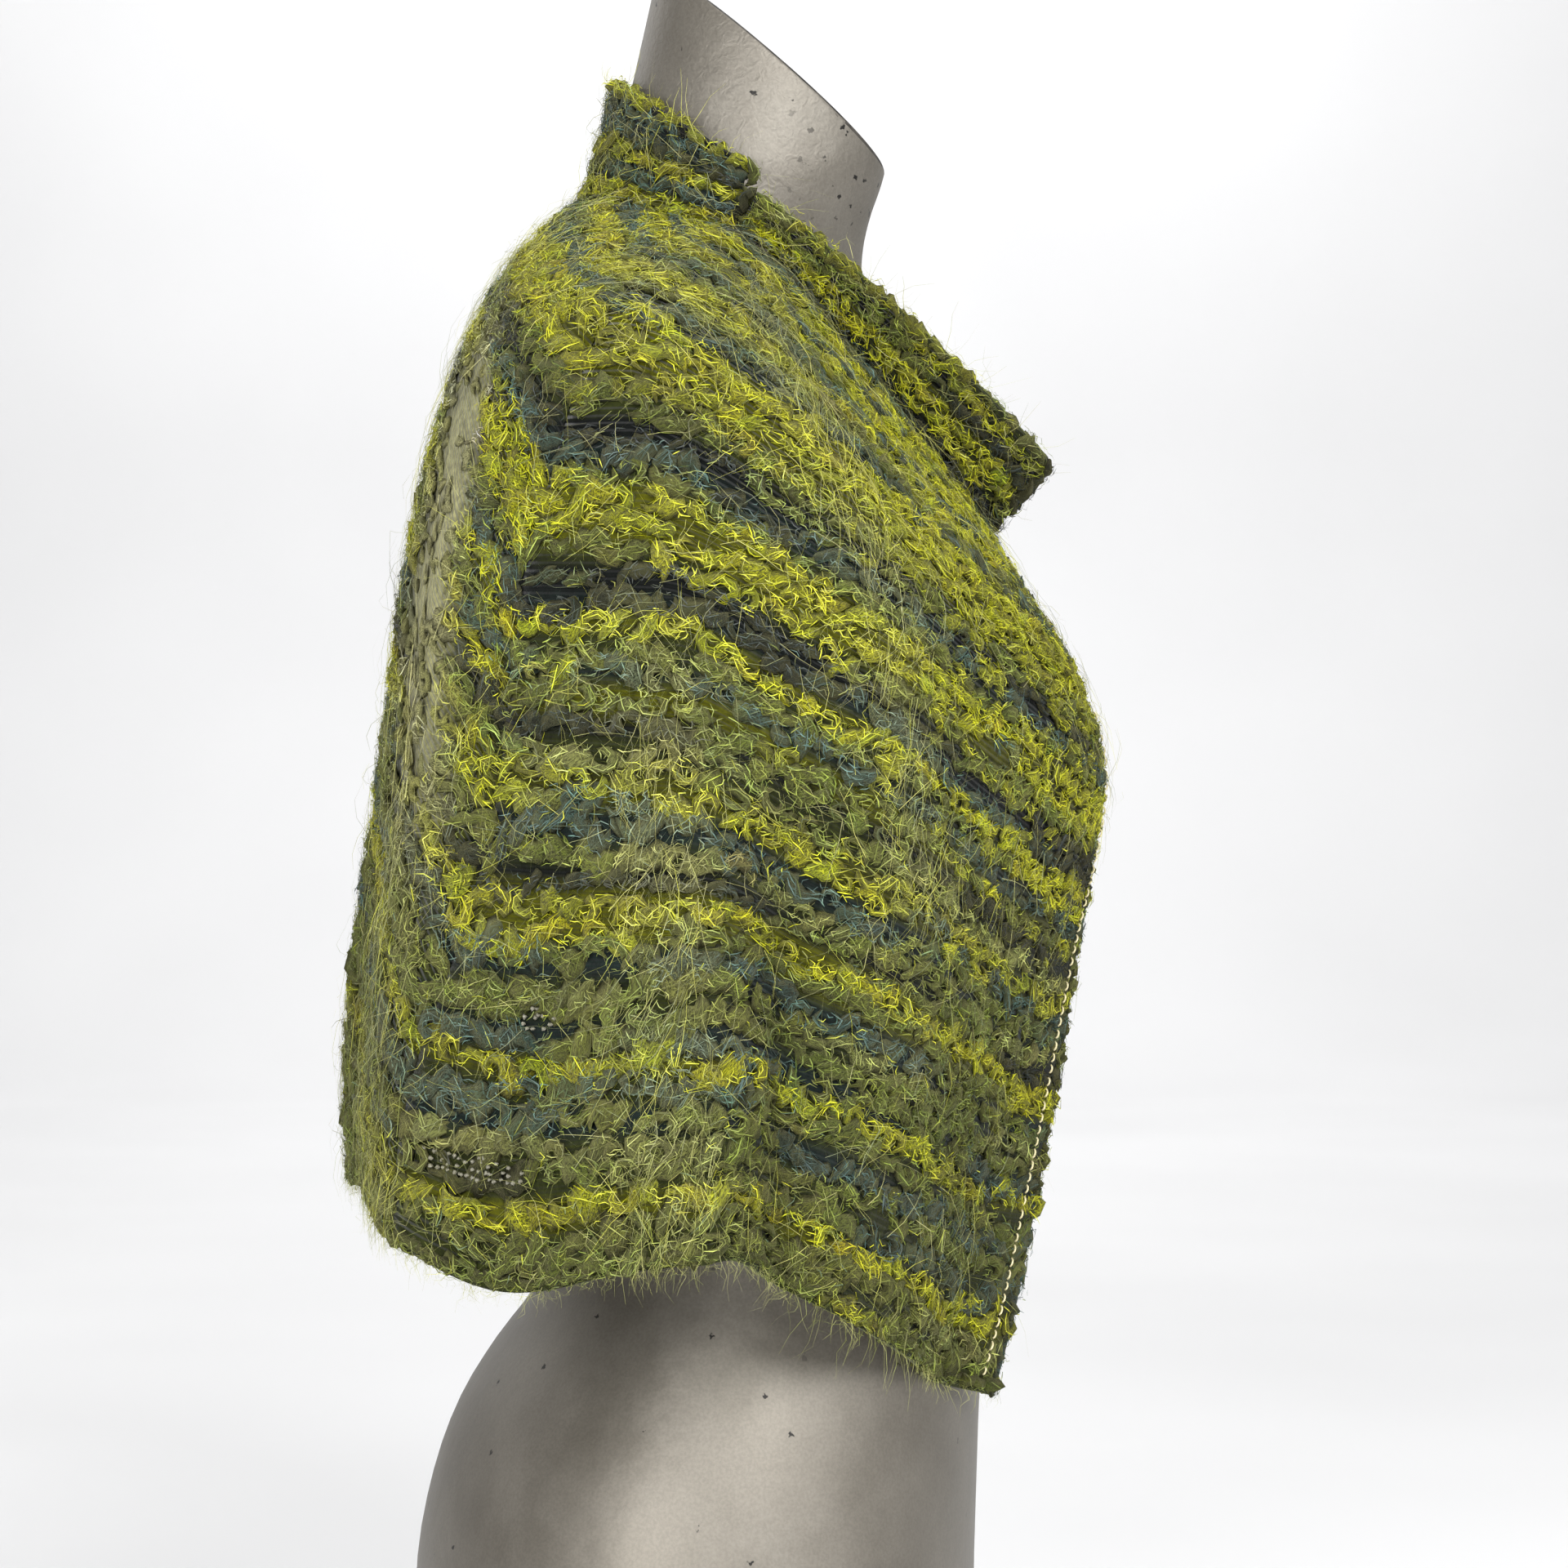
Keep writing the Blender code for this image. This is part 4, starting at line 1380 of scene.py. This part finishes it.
def topstitch_piece(name, cloth):
    """Dashes of cream thread along the turned front edge."""
    v = np.linspace(STITCH_FIRST, STITCH_LAST, 400)
    edge = cloth.at(cloth.middle, np.zeros_like(v), v)
    beside = cloth.at(cloth.middle, np.full_like(v, NEAR_EDGE), v)
    inward = np.interp(v, (STITCH_FIRST, 1.0), STITCH_INSET)
    u = NEAR_EDGE * inward / np.linalg.norm(beside - edge, axis=1)
    at, out, _, _ = cloth.axes_at(u, v)
    line = at + out * STITCH_LIFT
    length = lengths(line)
    starts = np.arange(0.0, length[-1] - 0.004, STITCH_PITCH)
    starts = starts + rng.uniform(-0.0003, 0.0003, len(starts))
    step = np.linspace(0, 1, STITCH_RINGS)
    dash = rng.uniform(*STITCH_LENGTH, len(starts))
    where = starts[:, None] + dash[:, None] * step
    points, lead = (
        np.stack([np.interp(where, length, rows[:, k]) for k in range(3)], axis=-1) for rows in (line, out)
    )
    points = points - lead * (STITCH_SINK * np.abs(2 * step - 1) ** 3)[None, :, None]
    along = unit(np.gradient(points, axis=1))
    across = unit(np.cross(lead, along))[:, :, None]
    upward = np.cross(along, across[:, :, 0])[:, :, None]
    turn = np.linspace(0, 2 * np.pi, STITCH_SIDES, endpoint=False)[None, None, :, None]
    tube = points[:, :, None] + STITCH_RADIUS * (np.cos(turn) * across + np.sin(turn) * upward)
    faces = tube_faces(len(starts), STITCH_RINGS, STITCH_SIDES)
    return new_piece(name, tube.reshape(-1, 3), faces, thread)


def front(side, word, node):
    name = word + "_front"
    cloth = Cloth(front_lines(side, FRONT_CUT.rows, FRONT_CUT.columns), CLOTH_WALL, COURSES)
    cloth.course = course_from_share(cloth.share)
    flat_sheen = flat_sheen_share(cloth.angle, cloth.share * LAST_RING) if side < 0 else 0.0
    shell = shell_piece(name, cloth, SHELL_OUTER, SHELL_INNER, body_ground, flat_sheen)
    across = np.linspace(0, 1, EDGE_SAMPLES)
    ones = np.ones(EDGE_SAMPLES)
    loops = joined(
        pressed(cloth, lit_shaded_and_flattened(cloth, body_loops(cloth, False))),
        edge_loops(cloth, across, ones, cloth.down, COURSES[-1], FRONT_HEM),
        edge_loops(cloth, 0 * ones, across, -cloth.along, COURSES[EDGE_COURSE], FRONT_EDGE),
    )
    fibres = fibres_piece(name + "_fibres", outside_flat_sheen(cloth, loops))
    if side < 0:
        loops = joined(loops, net_nubs(cloth))
    loops = loops_piece(name + "_loops", loops, body_yarn)
    hairs = joined(body_hairs(cloth, FRONT_HAIRS, False), hem_hairs(cloth, HEM_HAIRS))
    hairs = hairs_piece(name + "_hairs", hairs)
    stitches = topstitch_piece(name + "_topstitch", cloth)
    sewn(shell, [loops, fibres, hairs, stitches], "body_knit", node)


def back():
    cloth = Cloth(back_lines(BACK_CUT.rows, BACK_CUT.columns), CLOTH_WALL, COURSES)
    cloth.course = back_courses(cloth)
    flat_sheen = flat_sheen_share(cloth.angle, cloth.share * LAST_RING)
    shell = shell_piece("back_panel", cloth, SHELL_OUTER, SHELL_INNER, body_ground, flat_sheen)
    across = np.linspace(0, 1, EDGE_SAMPLES)
    ones = np.ones(EDGE_SAMPLES)
    loops = joined(
        lit_shaded_and_flattened(cloth, body_loops(cloth, True)),
        edge_loops(cloth, across, ones, cloth.down, COURSES[-1], BACK_HEM),
    )
    fibres = fibres_piece("back_fibres", outside_flat_sheen(cloth, loops))
    loops = loops_piece("back_loops", loops, body_yarn)
    hairs = joined(body_hairs(cloth, BACK_HAIRS, True), hem_hairs(cloth, HEM_HAIRS))
    hairs = hairs_piece("back_hairs", hairs)
    sewn(shell, [loops, fibres, hairs], "body_knit", "back")


def collar_hairs(cloth, count):
    """Hairs on both faces of a collar strip, which stand up along its top edge."""
    u = rng.random(count)
    v = rng.random(count) ** 0.6
    at, out, along, up = cloth.axes_at(u, v)
    out = out * np.where(rng.random(count) < 0.75, 1.0, -1.0)[:, None]
    rim = smooth_step(0.85, 1.0, v)
    turn = rng.uniform(0, 2 * np.pi, count)
    lie = unit(np.cos(turn)[:, None] * along + (np.sin(turn) + 1.4 * rim)[:, None] * up)
    colour = main_dyes(cloth.codes, v * len(cloth.codes))
    colour = colour + rng.uniform(0.3, 0.85, (count, 1)) * (linear(PALE) - colour)
    return Hairs(
        at + out * rng.uniform(*COLLAR_HAIR.root, count)[:, None],
        lie,
        out,
        np.clip(rng.gamma(3.0, 0.0036, count), *COLLAR_HAIR.length),
        rng.uniform(*COLLAR_LIFT, count),
        *hair_sizes(COLLAR_HAIR, count),
        colour,
    )


def collar(name, lines, codes, count, node):
    """A doubled strip with loops on both faces and a thick rolled top edge."""
    cloth = Cloth(lines, COLLAR_WALL, codes)
    courses = len(codes)
    cloth.course = cloth.share * (courses - 1.01)
    shell = shell_piece(name, cloth, COLLAR_SHELL, COLLAR_SHELL, collar_ground)
    u = np.linspace(0, 1, EDGE_SAMPLES + 1)
    ones = np.ones_like(u)
    parts = []
    for face, lift in COLLAR_FACES:
        for index in range(courses - 1):
            v = (index + 0.45) / (courses - 0.6) * ones
            pitch = cloth.pitch(u, v, 1 / courses, *COLLAR_PITCH)
            parts.append(course_loops(cloth, u, v, pitch, index, lift, face, COLLAR_FINE))
    parts.append(edge_loops(cloth, u, ones, cloth.down, codes[-1], COLLAR_TOP))
    for end, lead in ((0.0, -cloth.along), (1.0, cloth.along)):
        parts.append(edge_loops(cloth, end * ones, u, lead, codes[0], COLLAR_END))
    loops = joined(*parts)
    loops = loops._replace(colour=COLLAR_SHADE * loops.colour)
    fibres = fibres_piece(name + "_fibres", loops)
    loops = loops_piece(name + "_loops", loops, collar_yarn)
    hairs = hairs_piece(name + "_hairs", collar_hairs(cloth, count))
    sewn(shell, [loops, fibres, hairs], "collar_knit", node)


# Stage, light and camera
SWEEP_BACK = 4.5
SWEEP_CURVE = 0.9
SWEEP_SIZE = 5.0
WORLD_LIGHT = 0.25
Light = namedtuple("Light", "name place target size power")
LIGHTS = (
    Light("key", (-1.7, -0.7, 1.35), (0, 0, 0.4), 0.9, 35),
    Light("front", (-1.1, -1.7, 1.0), (0, -0.05, 0.45), 1.0, 15),
    Light("fill", (-1.2, 1.5, 0.8), (0, 0, 0.4), 1.2, 1.6),
    Light("top", (0.1, 0.0, 2.1), (0, 0, 0.3), 1.4, 15),
    Light("backdrop", (2.6, 0.0, 3.0), (4.2, 0.0, 0.6), 2.0, 72),
    Light("low side", (-1.35, 0.5, 0.5), (0, 0.03, 0.1), 0.8, 17),
    Light("far side", (1.2, 1.2, 1.2), (0, 0, 0.4), 1.2, 5),
)
EYE = (-1.6, -0.023, 0.3972)
SENSOR = 36.0
LENS = 93.75


def sweep():
    """A pale floor that curves up into a backdrop behind the object, as seen from the camera."""
    profile = [(-SWEEP_BACK, 0.0), (SWEEP_BACK - SWEEP_CURVE, 0.0)]
    for turn in np.linspace(0, np.pi / 2, 13)[1:]:
        away = SWEEP_BACK - SWEEP_CURVE * (1 - np.sin(turn))
        profile.append((away, SWEEP_CURVE * (1 - np.cos(turn))))
    profile.append((SWEEP_BACK, SWEEP_SIZE))
    points = np.array([(x, y, z) for x, z in profile for y in (-SWEEP_SIZE, SWEEP_SIZE)])
    low = np.arange(len(profile) - 1) * 2
    faces = np.stack([low, low + 2, low + 3, low + 1], axis=1)
    piece = new_piece("sweep", points, [faces], stage_material())


def area_light(light):
    data = bpy.data.lights.new(light.name, "AREA")
    data.shape = "DISK"
    data.size = light.size
    data.energy = light.power
    lamp = bpy.data.objects.new(light.name, data)
    lamp.location = light.place
    lamp.visible_camera = False
    aim = Vector(light.target) - Vector(light.place)
    lamp.rotation_euler = aim.to_track_quat("-Z", "Y").to_euler()
    bpy.context.scene.collection.objects.link(lamp)


def studio():
    world = bpy.data.worlds.new("Studio")
    world.use_nodes = True
    back_light = world.node_tree.nodes["Background"]
    back_light.inputs["Color"].default_value = (1.0, 1.0, 1.0, 1.0)
    back_light.inputs["Strength"].default_value = WORLD_LIGHT
    bpy.context.scene.world = world
    for light in LIGHTS:
        area_light(light)


def camera():
    bpy.context.scene.view_settings.view_transform = "Standard"
    data = bpy.data.cameras.new("camera")
    data.sensor_width = SENSOR
    data.lens = LENS
    eye = bpy.data.objects.new("camera", data)
    eye.location = EYE
    eye.rotation_euler = (np.pi / 2, 0.0, -np.pi / 2)
    bpy.context.scene.collection.objects.link(eye)
    bpy.context.scene.camera = eye


finished(form_piece(), "form_paint", "dress_form")
front(-1, "right", "front_right")
front(1, "left", "front_left")
back()
for side, word in ((-1, "right"), (1, "left")):
    strip = lapel_lines(side, LAPEL_CUT.rows, LAPEL_CUT.columns)
    collar(word + "_lapel", strip, LAPEL_COURSES, LAPEL_HAIRS, "lapel_" + word)
strip = collar_back_lines(COLLAR_CUT.rows, COLLAR_CUT.columns)
collar("collar", strip, COLLAR_BACK_COURSES, COLLAR_HAIRS, "collar_back")
sweep()
studio()
camera()
